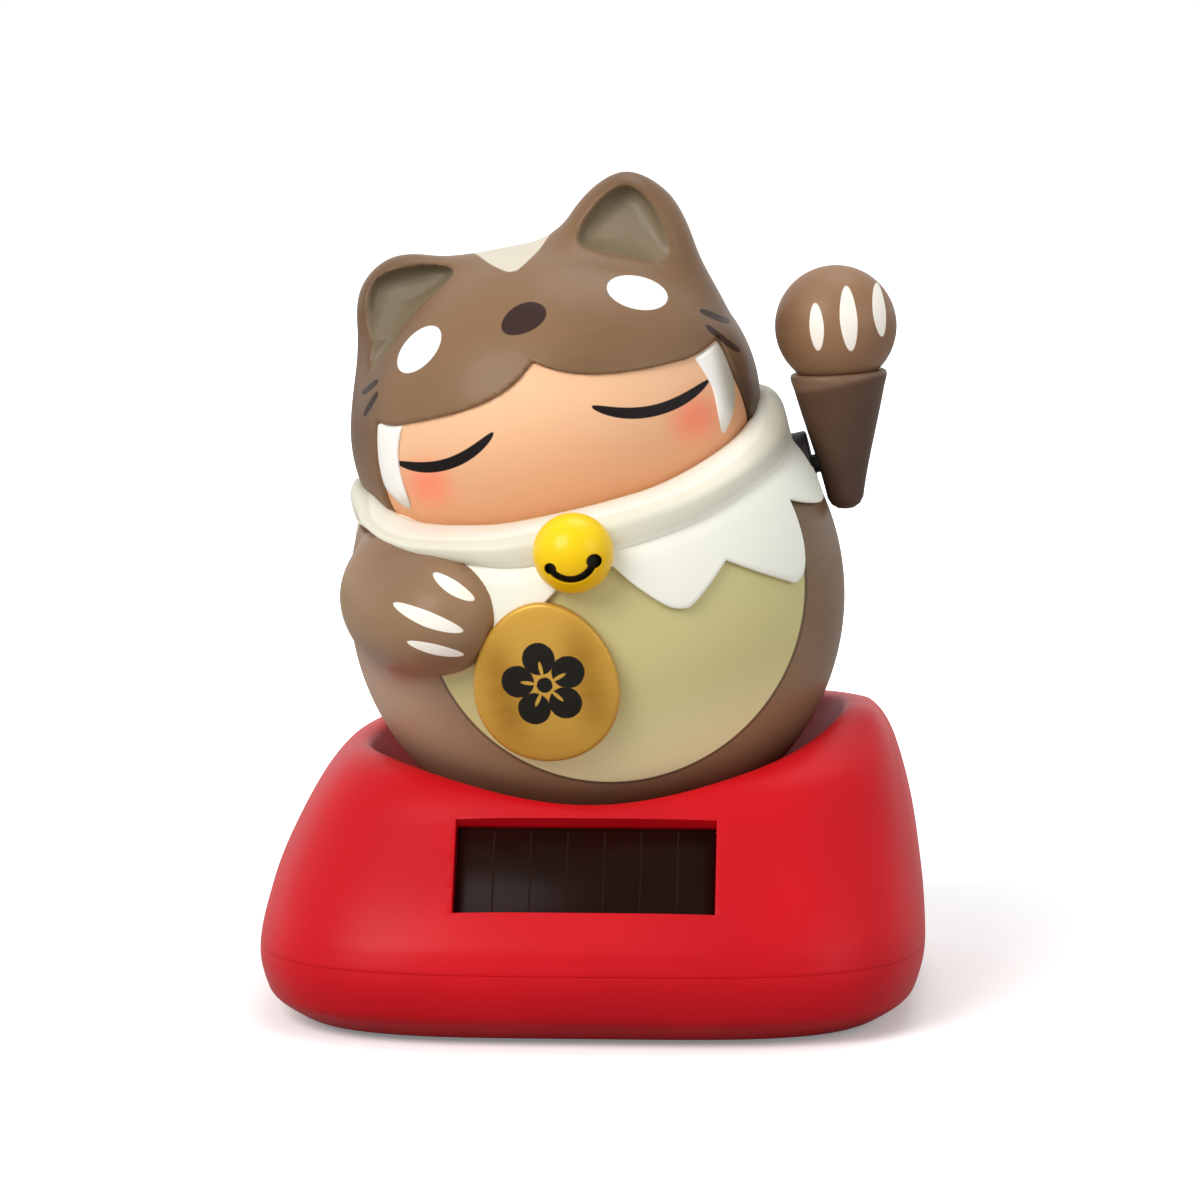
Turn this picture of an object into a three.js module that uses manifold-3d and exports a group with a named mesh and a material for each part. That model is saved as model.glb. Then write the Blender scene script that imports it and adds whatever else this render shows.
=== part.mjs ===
import * as THREE from 'three';
import { mergeVertices } from 'three/addons/utils/BufferGeometryUtils.js';
import Module from 'manifold-3d';

// Lucky cat figurine that rocks on a solar powered base.
// Millimetres, +Z up, the cat faces -Y. The origin is on the floor under the middle of the base.

// Fits
const fitGap = 0.25; // between two pieces that touch
const runGap = 0.15; // around a shaft, on the radius

// Base
const baseHalfWidth = 44;
const baseHalfDepth = 41.3;
const shoulderHeight = 40.4;
const baseWall = 2;
const coverWall = 4.4;
const coverFloor = 2.6;
const seamHeight = 9.7; // parting line between shell and bottom cover
const lipHeight = 1.2;
const footHeight = 0.5; // clearance under the cover
const footRadius = 4;
const footThickness = 1.7;
const footSpacingX = 60;
const footSpacingY = 48;
const caseScrewSpacingX = 66;
const caseScrewSpacingY = 28;

// Base outlines as [share of shoulderHeight, share of the half width or depth]
const rightOutline = [
  [0, 0.86], [0.1, 0.975], [0.223, 1], [0.495, 0.977], [0.792, 0.918], [0.946, 0.841], [1, 0.698],
];
const leftOutline = [
  [0, 0.86], [0.1, 0.975], [0.21, 1], [0.4, 0.966], [0.594, 0.895], [0.792, 0.775], [0.874, 0.634], [1, 0.2],
];
const frontOutline = [
  [0, 0.87], [0.1, 0.985], [0.2, 1], [0.3, 0.983], [0.384, 0.942], [0.666, 0.734], [0.792, 0.634], [1, 0.2],
];
const backOutline = [
  [0, 0.87], [0.1, 0.985], [0.2, 1], [0.5, 0.97], [0.74, 0.88], [0.89, 0.75], [1, 0.2],
];
const squareBottom = 4; // superellipse power of the plan near the floor
const squareTop = 3;

// Solar cell in the sloping front
const cellWidth = 33.2;
const cellHeight = 13.1;
const cellThickness = 1.1;
const cellSink = 2.2; // from the front face down to the glass
const cellCentreHeight = 22.8;
const cellPocketWall = 1.6;
const cellWireSlot = 5;

// Figure
const leanDeg = 13; // the figure is shown at the left end of its swing
const bodyRadius = 33;
const bowlGap = 3.2;
const bowlFloor = 17; // lowest point of the bowl above the floor
const pivotHeight = bowlFloor + bowlGap + bodyRadius;
const shellWall = 1.8;
const headHalfWidth = 27.4;
const headHalfDepth = 26.5;
const headHalfHeight = 23.2;
const headRise = 24.5; // head centre above the pivot
const neckRise = 16.8;
const neckTiltDeg = 6.3;
const neckHoleRadius = 20;
const partingHalfGap = 0.12;

// Ears: smooth closed outlines seen from the front as [x, z], the root that they shrink to, and the dish
const earDepth = 6.5;
const earY = -1;
const earDishFloor = -2.4;
const rightEar = {
  outline: [
    [5, 46], [10, 52], [16.2, 54.2], [21.4, 50], [23.4, 42.5], [23, 34], [14, 33], [6, 39],
  ],
  root: [14, 37],
  dish: [[9, 46.5], [11.8, 50.4], [16, 51.9], [19.2, 47], [19.8, 40.8], [14.9, 44]],
  dishCentre: [15.5, 47.3],
};
const leftEar = {
  outline: [
    [-3, 44.6], [-4, 38], [-14, 30], [-22.4, 30], [-23.4, 38], [-21.8, 46.4], [-16.6, 50], [-10, 48.7],
  ],
  root: [-14, 36],
  dish: [[-9.4, 46.2], [-14.6, 42.8], [-21, 37.8], [-20.6, 43], [-18.4, 47.2], [-13.9, 47.7]],
  dishCentre: [-17, 44.6],
};

// Face opening, seen from the front
const faceRight = 25.3;
const faceLeft = -23.2;
const faceTop = 29.8; // height where the hood edge meets the side of the face
const faceNotch = 34.1; // height of the pointed notch over the brow
const faceDip = 28.2;
const faceDipX = 10;
const faceSink = 0.6;
const faceCorner = 6; // height of the rounded upper corners
const tuskRoot = 29.4; // height of its broad upper end
const tuskTip = 18.5;
const tuskWidth = 3.3;
const tuskBow = 2.1; // how far it bows outwards
const rightTuskX = 21;
const leftTuskX = -18.4;
const tuskThickness = 0.9;

// Collar roll and cape
const collarTop = [
  [-180, 22.6], [-90, 22], [-61, 19.6], [-36, 17], [0, 16.4], [24, 16.6], [58, 18.7], [90, 21], [180, 22.6],
];
const collarEdge = [
  [-180, 15], [-90, 16.4], [-61, 15.6], [-36, 12.4], [-10, 9.1], [14, 9], [44, 11.4], [90, 13.8], [180, 15],
];
const collarBulge = 2;
const collarRollDepth = 2.6;
const capeThickness = 0.6;
const capeInside = 10; // radius where the cutter of the cape's edge starts
const capeEdge = [
  [-180, 0], [-164, 6.5], [-148, 0], [-132, 7.5], [-116, 1.5], [-98, 13], [-50, 13], [-34, 5], [-22, -0.3],
  [-9, 7.1], [0, 8.6], [9, 7.1], [22.5, -0.5], [35, 4.1], [54.5, -1.6], [59.5, 8.7], [79, 6.4], [84, 12],
  [98, 4], [116, 1.5], [132, 7.5], [148, 0], [164, 6.5], [180, 0],
]; // the jagged edge, as the two edges above: [degrees round from the front towards the waving arm, height]

// Bell, coin and held paw
const bellRadius = 5.1;
const bellX = 0.9;
const bellZ = 10.1;
const bellOut = 1.3; // bell centre in front of the collar
const bellSlotWidth = 1.1;
const bellSlotRadius = 3.4;
const coinHalfWidth = 9.4;
const coinHalfHeight = 10.6;
const coinX = -6.4;
const coinZ = -6;
const coinTurnDeg = -7.7;
const coinThickness = 1.5;
const heldArm = [
  { centre: [-17.6, -27.3, 4.9], half: [8, 8.2, 7.2] },
  { centre: [-20.6, -23, 5.6], half: [8.6, 9, 7.9] },
  { centre: [-23, -16.5, 7], half: [8.8, 10, 9.2] },
]; // from the paw back to the elbow

// Waving arm
const armPivotZ = 10.7;
const armTipX = bodyRadius + 1.9;
const armTipZ = 3.9;
const armLeanDeg = 9.4;
const armTipRadius = 2.3;
const armNeckRadius = 6.1;
const armNeckAt = 18.2; // distance of the cup rim from the tip
const pawRadius = 8.1;
const pawAt = 24.5; // distance of the paw centre from the tip
const pawWall = 1.4;
const pawMouthRadius = 3.6;
const armCupRadius = 4.4; // hollow in the top of the forearm
const armCupLow = 11;
const armAxleRadius = 1.25;
const bushRadius = 4.6; // flange of the shoulder bush, outside the body
const bushBarrel = 2.7;
const bushStart = bodyRadius - 4.5; // ends of the bush, from the middle of the figure
const bushEnd = bodyRadius - 1.1;
const armAxleInner = bodyRadius - 8; // inner end of the axle, from the middle of the figure
const armLeverThickness = 1.8;
const armLeverWidth = 3;
const armLeverEye = 2.85;
const armLeverDrop = 12;
const armWeightRadius = 4.6;
const armWeightThickness = 4.5;

// Rocking works
const pinRadius = 1.5;
const pinHalfLength = 17;
const yokeInner = 9.5; // from the middle to the inner face of each post
const yokePost = 3; // post thickness
const yokeHalfWidth = 3;
const yokeEyeRadius = 4;
const yokeFlangeThickness = 2;
const yokeFlangeDrop = 1.2; // from the underside of the bowl to the flange
const yokeFlangeHalfX = 17;
const yokeFlangeHalfY = 14;
const yokeScrewX = 13;
const bossRadius = 3.2;
const slotHalfX = 12.5;
const slotHalfY = 14.5;
const carrierHalfWidth = 4.5;
const carrierThickness = 3;
const carrierRise = 7.5; // underside of the carrier above the bottom of the body
const carrierDepth = bodyRadius - carrierRise;
const magnetRadius = 5;
const magnetHeight = 6;
const coilGap = 2.6; // between the bobbin and the lowest point of the swinging magnet
const cupWall = 1.2;
const cupDepth = 2.5;
const weightHalfY = 9;
const weightHeight = 7;
const weightInnerX = 10.5;

// Drive electronics
const boardHalfX = 28;
const boardHalfY = 13;
const boardThickness = 1.2;
const boardHeight = 5;
const postRadius = 2.2;
const boardScrewX = 24;
const boardScrewY = 8;
const coilInner = 3;
const coilOuter = 6.3;
const bobbinFlange = 0.9;
const bobbinBore = 1.5;
const chipRadius = 3;
const chipHeight = 1.6;
const capRadius = 3;
const capHeight = 6.5;
const wireRadius = 0.45;

// Fasteners
const screwRadius = 1.1;
const screwHeadRadius = 2.2;
const screwHeadHeight = 1.4;
const screwBossRadius = 3.2;
const caseScrewLength = 13;
const smallScrewLength = 5;

// Mesh fineness
const baseSteps = 36;
const fineSteps = 28;
const roundSteps = 16;
const smallSteps = 10;
const shellLevels = 8;
const coverLevels = 4;
const skirtSteps = 60;
const rollSteps = 8;
const earRings = 7;
const earFullness = 0.45;
const far = 120; // larger than any piece, for cutting solids

const wasm = await Module();
wasm.setup();

const paint = (colour, roughness, metalness = 0) =>
  new THREE.MeshStandardMaterial({ color: colour, roughness, metalness });
const materials = {
  red: paint(0xcb1b26, 0.35),
  brown: paint(0x8a6a50, 0.45),
  face: paint(0xf0b58c, 0.5),
  white: paint(0xf4f2e6, 0.45),
  yellow: paint(0xf7dc15, 0.3),
  gold: paint(0xd9ab45, 0.35, 0.4),
  cell: paint(0x22100a, 0.15),
  rubber: paint(0x2a2a2a, 0.9),
  steel: paint(0xb8babd, 0.35, 1),
  magnet: paint(0x8d8f92, 0.3, 1),
  nylon: paint(0xe9e6da, 0.5),
  board: paint(0x1f6b3a, 0.5),
  copper: paint(0xb8672f, 0.35, 1),
  chip: paint(0x151515, 0.6),
  black: paint(0x191512, 0.6),
  can: paint(0x27324f, 0.4),
  wireRed: paint(0xc42020, 0.5),
  wireBlack: paint(0x1b1b1b, 0.5),
};

// Solids from three.js geometries

function toSolid(geometry) {
  const bare = geometry.clone();
  bare.deleteAttribute('normal');
  bare.deleteAttribute('uv');
  const merged = mergeVertices(bare, 1e-4);
  const source = merged.index.array;
  const triangles = [];
  for (let i = 0; i < source.length; i += 3) {
    const [a, b, c] = [source[i], source[i + 1], source[i + 2]];
    if (a !== b && b !== c && c !== a) triangles.push(a, b, c);
  }
  const vertProperties = new Float32Array(merged.attributes.position.array);
  const triVerts = new Uint32Array(triangles);
  return new wasm.Manifold(new wasm.Mesh({ numProp: 3, vertProperties, triVerts }));
}

function placed(geometry, position = [0, 0, 0], turn = [0, 0, 0]) {
  const angles = turn.map((degrees) => THREE.MathUtils.degToRad(degrees));
  const matrix = new THREE.Matrix4().makeRotationFromEuler(new THREE.Euler(...angles));
  matrix.setPosition(...position);
  return toSolid(geometry.clone().applyMatrix4(matrix));
}

const box = (size, centre, turn) => placed(new THREE.BoxGeometry(...size), centre, turn);

function ball(radius, centre = [0, 0, 0], steps = fineSteps) {
  return ellipsoid([radius, radius, radius], centre, steps);
}

function ellipsoid(half, centre, steps = fineSteps) {
  const geometry = new THREE.SphereGeometry(1, steps, Math.round(steps / 2));
  geometry.rotateX(Math.PI / 2);
  geometry.scale(...half);
  return placed(geometry, centre);
}

function rod(radius, from, to, steps = roundSteps) {
  const start = new THREE.Vector3(...from);
  const along = new THREE.Vector3(...to).sub(start);
  const geometry = new THREE.CylinderGeometry(radius, radius, along.length(), steps);
  geometry.translate(0, along.length() / 2, 0);
  const turn = new THREE.Quaternion().setFromUnitVectors(new THREE.Vector3(0, 1, 0), along.normalize());
  geometry.applyQuaternion(turn);
  geometry.translate(...start);
  return toSolid(geometry);
}

// A turned solid about Z from [radius, height] points that start and end on the axis, bottom first
function turned(points, steps = roundSteps) {
  const profile = points.map(([radius, height]) => new THREE.Vector2(radius, height));
  const geometry = new THREE.LatheGeometry(profile, steps);
  geometry.rotateX(Math.PI / 2);
  return geometry;
}

// A closed ring about Z, with an outline of [radius, height] points that runs anticlockwise
function ring(inner, outer, low, high, steps = roundSteps) {
  return turned([[inner, low], [outer, low], [outer, high], [inner, high], [inner, low]], steps);
}

// A closed solid through rings of points that are listed from the bottom up
function loft(rings) {
  const count = rings[0].length;
  const positions = rings.flat().flatMap((point) => [point.x, point.y, point.z]);
  const index = [];
  for (let level = 0; level < rings.length - 1; level += 1) {
    for (let i = 0; i < count; i += 1) {
      const a = level * count + i;
      const b = level * count + (i + 1) % count;
      index.push(a, b, b + count, a, b + count, a + count);
    }
  }
  const capEnd = (level, flip) => {
    const centre = new THREE.Vector3();
    for (const point of rings[level]) centre.addScaledVector(point, 1 / count);
    const hub = positions.length / 3;
    positions.push(centre.x, centre.y, centre.z);
    for (let i = 0; i < count; i += 1) {
      const a = level * count + i;
      const b = level * count + (i + 1) % count;
      index.push(hub, flip ? b : a, flip ? a : b);
    }
  };
  capEnd(0, true);
  capEnd(rings.length - 1, false);
  const geometry = new THREE.BufferGeometry();
  geometry.setAttribute('position', new THREE.Float32BufferAttribute(positions, 3));
  geometry.setIndex(index);
  return toSolid(geometry);
}

// An outline in X and Z, cut straight through from front to back
function prism(shape, front, back, steps = 12) {
  const options = { depth: back - front, bevelEnabled: false, curveSegments: steps };
  const geometry = new THREE.ExtrudeGeometry(shape, options);
  geometry.rotateX(Math.PI / 2);
  geometry.translate(0, back, 0);
  return toSolid(geometry);
}

function addPart(group, name, solid, material) {
  const data = solid.getMesh();
  const geometry = new THREE.BufferGeometry();
  geometry.setAttribute('position', new THREE.BufferAttribute(data.vertProperties, 3));
  geometry.setIndex(new THREE.BufferAttribute(data.triVerts, 1));
  geometry.computeVertexNormals();
  const mesh = new THREE.Mesh(geometry, materials[material]);
  mesh.name = name;
  group.add(mesh);
}

// A smooth curve through [position, value] pairs that never overshoots them
function smoothCurve(pairs) {
  const last = pairs.length - 1;
  const slope = (i) => (pairs[i + 1][1] - pairs[i][1]) / (pairs[i + 1][0] - pairs[i][0]);
  const tangent = (i) => {
    if (i === 0) return slope(0);
    if (i === last) return slope(last - 1);
    const [before, after] = [slope(i - 1), slope(i)];
    return before * after <= 0 ? 0 : 2 * before * after / (before + after);
  };
  return (position) => {
    const at = Math.min(Math.max(position, pairs[0][0]), pairs[last][0]);
    let i = 0;
    while (i < last - 1 && at > pairs[i + 1][0]) i += 1;
    const span = pairs[i + 1][0] - pairs[i][0];
    const t = (at - pairs[i][0]) / span;
    const startPull = (1 + 2 * t) * (1 - t) ** 2 * pairs[i][1] + t * (1 - t) ** 2 * span * tangent(i);
    return startPull + t * t * (3 - 2 * t) * pairs[i + 1][1] + t * t * (t - 1) * span * tangent(i + 1);
  };
}

const right = smoothCurve(rightOutline);
const left = smoothCurve(leftOutline);
const front = smoothCurve(frontOutline);
const back = smoothCurve(backOutline);

// One level of the base's outside, drawn in by an inset
function baseRing(height, inset = 0, at = height) {
  const share = height / shoulderHeight;
  const power = 2 / THREE.MathUtils.lerp(squareBottom, squareTop, share);
  const points = [];
  for (let i = 0; i < baseSteps; i += 1) {
    const angle = 2 * Math.PI * i / baseSteps;
    const [c, s] = [Math.cos(angle), Math.sin(angle)];
    const reachX = baseHalfWidth * (c > 0 ? right : left)(share) - inset;
    const reachY = baseHalfDepth * (s > 0 ? back : front)(share) - inset;
    const x = reachX * Math.sign(c) * Math.abs(c) ** power;
    const y = reachY * Math.sign(s) * Math.abs(s) ** power;
    points.push(new THREE.Vector3(x, y, at));
  }
  return points;
}

function baseLoft(low, high, levels, inset = 0, rise = 0) {
  const rings = [];
  for (let i = 0; i <= levels; i += 1) {
    const t = Math.sin(Math.PI / 2 * i / levels);
    const at = THREE.MathUtils.lerp(low, high, t);
    rings.push(baseRing(Math.min(at + rise, shoulderHeight), inset, at));
  }
  return loft(rings);
}

// The sloping front: where the cell's middle is and how far the face leans back
const slopeReach = (height) => baseHalfDepth * front(height / shoulderHeight);
const cellLean = Math.atan2(
  slopeReach(cellCentreHeight - cellHeight / 3) - slopeReach(cellCentreHeight + cellHeight / 3),
  cellHeight * 2 / 3,
);
const cellLeanDeg = THREE.MathUtils.radToDeg(cellLean);
const cellFrame = (depth) => [
  0,
  -slopeReach(cellCentreHeight) + depth * Math.cos(cellLean),
  cellCentreHeight - depth * Math.sin(cellLean),
];
const cellBox = (width, height, near, deep) =>
  box([width, deep - near, height], cellFrame((near + deep) / 2), [-cellLeanDeg, 0, 0]);

const pivot = [0, 0, pivotHeight];
const bowlRadius = bodyRadius + bowlGap;
const fourCorners = (spacingX, spacingY) => [[-1, -1], [1, -1], [-1, 1], [1, 1]].map(
  ([x, y]) => [x * spacingX / 2, y * spacingY / 2],
);
const caseScrewPlaces = fourCorners(caseScrewSpacingX, caseScrewSpacingY);
const boardPlaces = fourCorners(2 * boardScrewX, 2 * boardScrewY);
const screwHole = screwRadius + fitGap;

// A pan-head screw along Z with its head underneath
function screw(x, y, headLow, length) {
  const headTop = headLow + screwHeadHeight;
  const points = [
    [0, headLow], [screwHeadRadius * 0.8, headLow], [screwHeadRadius, headLow + screwHeadHeight / 2],
    [screwHeadRadius, headTop], [screwRadius, headTop], [screwRadius, headTop + length - screwRadius],
    [0, headTop + length],
  ];
  return placed(turned(points, smallSteps), [x, y, 0]);
}

const caseHeadLow = footHeight + coverFloor / 4;
const boardTop = boardHeight + boardThickness;
const postTop = boardHeight - fitGap;
const flangeTop = bowlFloor - baseWall - yokeFlangeDrop;
const flangeLow = flangeTop - yokeFlangeThickness;
const bobbinClear = coilOuter + 2;
const magnetDepth = carrierDepth + fitGap + magnetHeight;
const bobbinTop = pivotHeight - Math.hypot(magnetDepth, magnetRadius) - coilGap;

function baseShell() {
  const outside = baseLoft(seamHeight + fitGap / 2, shoulderHeight, shellLevels);
  const ceiling = shoulderHeight - baseWall;
  let hollow = baseLoft(seamHeight - baseWall, ceiling, shellLevels - 3, baseWall, baseWall * 0.6);
  hollow = hollow.subtract(ball(bowlRadius + baseWall, pivot));
  const pocketWidth = cellWidth + 2 * (fitGap + cellPocketWall);
  const pocketHeight = cellHeight + 2 * (fitGap + cellPocketWall);
  const pocketDepth = cellSink + cellThickness + fitGap;
  hollow = hollow.subtract(cellBox(pocketWidth, pocketHeight, -baseWall, pocketDepth + cellPocketWall));
  for (const [x, y] of caseScrewPlaces) {
    hollow = hollow.subtract(rod(screwBossRadius, [x, y, 0], [x, y, shoulderHeight]));
  }
  for (const x of [-yokeScrewX, yokeScrewX]) {
    const bossTop = [x, 0, bowlFloor + baseWall * 2];
    hollow = hollow.subtract(rod(screwBossRadius, [x, 0, flangeTop + fitGap], bossTop));
  }
  let shell = outside.subtract(hollow).subtract(ball(bowlRadius, pivot));
  shell = shell.subtract(cellBox(cellWidth + 2 * fitGap, cellHeight + 2 * fitGap, -far / 4, pocketDepth));
  shell = shell.subtract(cellBox(cellWireSlot, cellWireSlot / 2, 0, pocketDepth + cellPocketWall * 2));
  shell = shell.subtract(rod(bobbinClear, [0, 0, 0], [0, 0, pivotHeight]));
  const slotX = 2 * (yokeHalfWidth + 1);
  const slotY = 2 * (yokeInner + yokePost + 1);
  shell = shell.subtract(box([slotX, slotY, bowlFloor], [0, 0, bowlFloor]));
  for (const [x, y] of caseScrewPlaces) {
    const tip = caseHeadLow + screwHeadHeight + caseScrewLength + fitGap;
    shell = shell.subtract(rod(screwHole, [x, y, 0], [x, y, tip], smallSteps));
  }
  for (const x of [-yokeScrewX, yokeScrewX]) {
    const tip = flangeLow + smallScrewLength;
    shell = shell.subtract(rod(screwHole, [x, 0, 0], [x, 0, tip], smallSteps));
  }
  return shell;
}

function bottomCover() {
  const top = seamHeight - fitGap / 2;
  const outside = baseLoft(footHeight, top, coverLevels);
  const hollow = baseLoft(footHeight + coverFloor, top + lipHeight * 2, 2, coverWall);
  const lipInset = baseWall + 5 * fitGap;
  const lip = baseLoft(top - lipHeight, top + lipHeight, 1, lipInset);
  let cover = outside.add(lip).subtract(hollow);
  for (const [x, y] of caseScrewPlaces) {
    cover = cover.add(rod(screwBossRadius, [x, y, footHeight + coverFloor / 2], [x, y, top]));
  }
  for (const [x, y] of boardPlaces) {
    cover = cover.add(rod(postRadius, [x, y, footHeight + coverFloor / 2], [x, y, postTop]));
  }
  for (const [x, y] of caseScrewPlaces) {
    const headTop = caseHeadLow + screwHeadHeight + fitGap;
    cover = cover.subtract(rod(screwHeadRadius + fitGap, [x, y, -1], [x, y, headTop], smallSteps));
    cover = cover.subtract(rod(screwHole, [x, y, 0], [x, y, far], smallSteps));
  }
  for (const [x, y] of boardPlaces) {
    const pilotLow = boardTop - smallScrewLength - fitGap;
    cover = cover.subtract(rod(screwHole, [x, y, pilotLow], [x, y, far], smallSteps));
  }
  for (const [x, y] of fourCorners(footSpacingX, footSpacingY)) {
    cover = cover.subtract(rod(footRadius + fitGap, [x, y, -1], [x, y, footThickness + fitGap]));
  }
  return cover;
}

function yoke() {
  const flangeMid = (flangeLow + flangeTop) / 2;
  let solid = box([2 * yokeFlangeHalfX, 2 * yokeFlangeHalfY, yokeFlangeThickness], [0, 0, flangeMid]);
  const postLength = pivotHeight - flangeMid;
  for (const side of [-1, 1]) {
    const y = side * (yokeInner + yokePost / 2);
    const ends = [[0, side * yokeInner, pivotHeight], [0, side * (yokeInner + yokePost), pivotHeight]];
    solid = solid.add(box([2 * yokeHalfWidth, yokePost, postLength], [0, y, flangeMid + postLength / 2]));
    solid = solid.add(rod(yokeEyeRadius, ...ends));
  }
  solid = solid.subtract(rod(pinRadius + runGap, [0, -far, pivotHeight], [0, far, pivotHeight]));
  solid = solid.subtract(rod(bobbinClear, [0, 0, 0], [0, 0, bowlFloor]));
  for (const x of [-yokeScrewX, yokeScrewX]) {
    solid = solid.subtract(rod(screwHole, [x, 0, 0], [x, 0, pivotHeight], smallSteps));
  }
  return solid;
}

function buildBase(group) {
  addPart(group, 'base_shell', baseShell(), 'red');
  addPart(group, 'bottom_cover', bottomCover(), 'red');
  fourCorners(footSpacingX, footSpacingY).forEach(([x, y], i) => {
    addPart(group, `rubber_foot_${i + 1}`, rod(footRadius, [x, y, 0], [x, y, footThickness]), 'rubber');
  });
  caseScrewPlaces.forEach(([x, y], i) => {
    addPart(group, `case_screw_${i + 1}`, screw(x, y, caseHeadLow, caseScrewLength), 'steel');
  });
  addPart(group, 'solar_cell', cellBox(cellWidth, cellHeight, cellSink, cellSink + cellThickness), 'cell');
  addPart(group, 'pivot_yoke', yoke(), 'nylon');
  [-yokeScrewX, yokeScrewX].forEach((x, i) => {
    const headLow = flangeLow - fitGap - screwHeadHeight;
    addPart(group, `yoke_screw_${i + 1}`, screw(x, 0, headLow, smallScrewLength), 'steel');
  });
}

// Electronics on the board under the bowl

const chipPlace = [21.5, -1];
const capPlace = [-21.5, 3.5];
const redPad = [4, -12];
const blackPad = [-4, -12];

function bobbin() {
  const low = boardTop + fitGap;
  const points = [
    [bobbinBore, low], [coilOuter, low], [coilOuter, low + bobbinFlange], [coilInner, low + bobbinFlange],
    [coilInner, bobbinTop - bobbinFlange], [coilOuter, bobbinTop - bobbinFlange], [coilOuter, bobbinTop],
    [bobbinBore, bobbinTop], [bobbinBore, low],
  ];
  return toSolid(turned(points));
}

// A wire from the back of the cell down to a pad on the board
function leadWire(pad, side) {
  const x = side * cellWireSlot / 4;
  const backDepth = cellSink + cellThickness + fitGap;
  const start = new THREE.Vector3(...cellFrame(backDepth)).setX(x);
  const outside = new THREE.Vector3(...cellFrame(backDepth + cellPocketWall * 2.5)).setX(x * 1.5);
  const end = new THREE.Vector3(pad[0], pad[1], boardTop + fitGap);
  const above = end.clone().setZ(end.z + 1.5);
  const path = new THREE.CatmullRomCurve3([start, outside, above, end]);
  const section = new THREE.Shape().absarc(0, 0, wireRadius, 0, 2 * Math.PI);
  const options = { steps: 14, curveSegments: 3, extrudePath: path, bevelEnabled: false };
  return toSolid(new THREE.ExtrudeGeometry(section, options));
}

function buildElectronics(group) {
  let board = box([2 * boardHalfX, 2 * boardHalfY, boardThickness], [0, 0, boardHeight + boardThickness / 2]);
  for (const [x, y] of boardPlaces) {
    board = board.subtract(rod(screwHole, [x, y, 0], [x, y, far], smallSteps));
  }
  addPart(group, 'circuit_board', board, 'board');
  [boardPlaces[0], boardPlaces[3]].forEach(([x, y], i) => {
    const points = [
      [0, 0], [screwRadius, screwRadius], [screwRadius, smallScrewLength],
      [screwHeadRadius, smallScrewLength], [screwHeadRadius, smallScrewLength + screwHeadHeight * 0.6],
      [0, smallScrewLength + screwHeadHeight],
    ];
    const low = boardTop + fitGap - smallScrewLength;
    addPart(group, `board_screw_${i + 1}`, placed(turned(points, smallSteps), [x, y, low]), 'steel');
  });
  addPart(group, 'coil_bobbin', bobbin(), 'nylon');
  const windingLow = boardTop + 2 * fitGap + bobbinFlange;
  const windingHigh = bobbinTop - bobbinFlange - fitGap;
  const winding = ring(coilInner + fitGap, coilOuter - fitGap, windingLow, windingHigh);
  addPart(group, 'drive_coil', toSolid(winding), 'copper');
  const onBoard = boardTop + fitGap;
  addPart(group, 'control_chip', placed(turned([
    [0, 0], [chipRadius, 0], [chipRadius * 0.95, chipHeight * 0.45], [chipRadius * 0.6, chipHeight * 0.9],
    [0, chipHeight],
  ], smallSteps), [...chipPlace, onBoard]), 'chip');
  addPart(group, 'storage_capacitor', placed(turned([
    [0, 0], [capRadius, 0], [capRadius, capHeight - 0.5], [capRadius - 0.5, capHeight], [0, capHeight],
  ], roundSteps), [...capPlace, onBoard]), 'can');
  addPart(group, 'cell_lead_red', leadWire(redPad, 1), 'wireRed');
  addPart(group, 'cell_lead_black', leadWire(blackPad, -1), 'wireBlack');
}

// Figure, in a frame that has its origin at the pivot

const headCentre = [0, 0, headRise];
const headHalf = [headHalfWidth, headHalfDepth, headHalfHeight];
const grown = (half, by) => half.map((size) => size + by);
const frontSide = () => box([far, far, far], [0, -far / 2 - partingHalfGap, 0]);
const rearSide = () => box([far, far, far], [0, far / 2 + partingHalfGap, 0]);
const neckTilt = THREE.MathUtils.degToRad(neckTiltDeg);

// Everything above the neck joint, raised by a lift
function aboveNeck(lift) {
  const rise = neckRise + lift + far / 2 * Math.cos(neckTilt);
  return box([far, far, far], [0, -far / 2 * Math.sin(neckTilt), rise], [neckTiltDeg, 0, 0]);
}

const armLean = THREE.MathUtils.degToRad(armLeanDeg);
const coneCentreAtPivot = armTipX + (armPivotZ - armTipZ) * Math.tan(armLean);
const armAxleEnd = coneCentreAtPivot + 1;

function heldArmRelief(grow = 0) {
  const lumps = heldArm.map(({ half, centre }) => ellipsoid(grown(half, grow), centre, roundSteps));
  return wasm.Manifold.union(lumps);
}

function bodyWhole() {
  let solid = ball(bodyRadius).add(heldArmRelief()).subtract(ball(bodyRadius - shellWall));
  const neckHole = rod(neckHoleRadius, [0, 0, 0], [0, 0, far]);
  const ledge = ball(bodyRadius - shellWall / 2).intersect(aboveNeck(-shellWall - fitGap)).subtract(neckHole);
  solid = solid.add(ledge).subtract(aboveNeck(-fitGap / 2));
  for (const side of [-1, 1]) {
    const reach = side * (bodyRadius - shellWall / 2);
    const boss = rod(bossRadius, [0, side * (yokeInner + yokePost + 2 * fitGap), 0], [0, reach, 0]);
    solid = solid.add(boss);
  }
  const pinEnd = pinHalfLength + fitGap;
  solid = solid.subtract(rod(pinRadius + runGap, [0, -pinEnd, 0], [0, pinEnd, 0]));
  solid = solid.subtract(box([2 * slotHalfX, 2 * slotHalfY, bodyRadius], [0, 0, -bodyRadius]));
  return solid.subtract(rod(bushBarrel + fitGap, [0, 0, armPivotZ], [far, 0, armPivotZ]));
}

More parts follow.
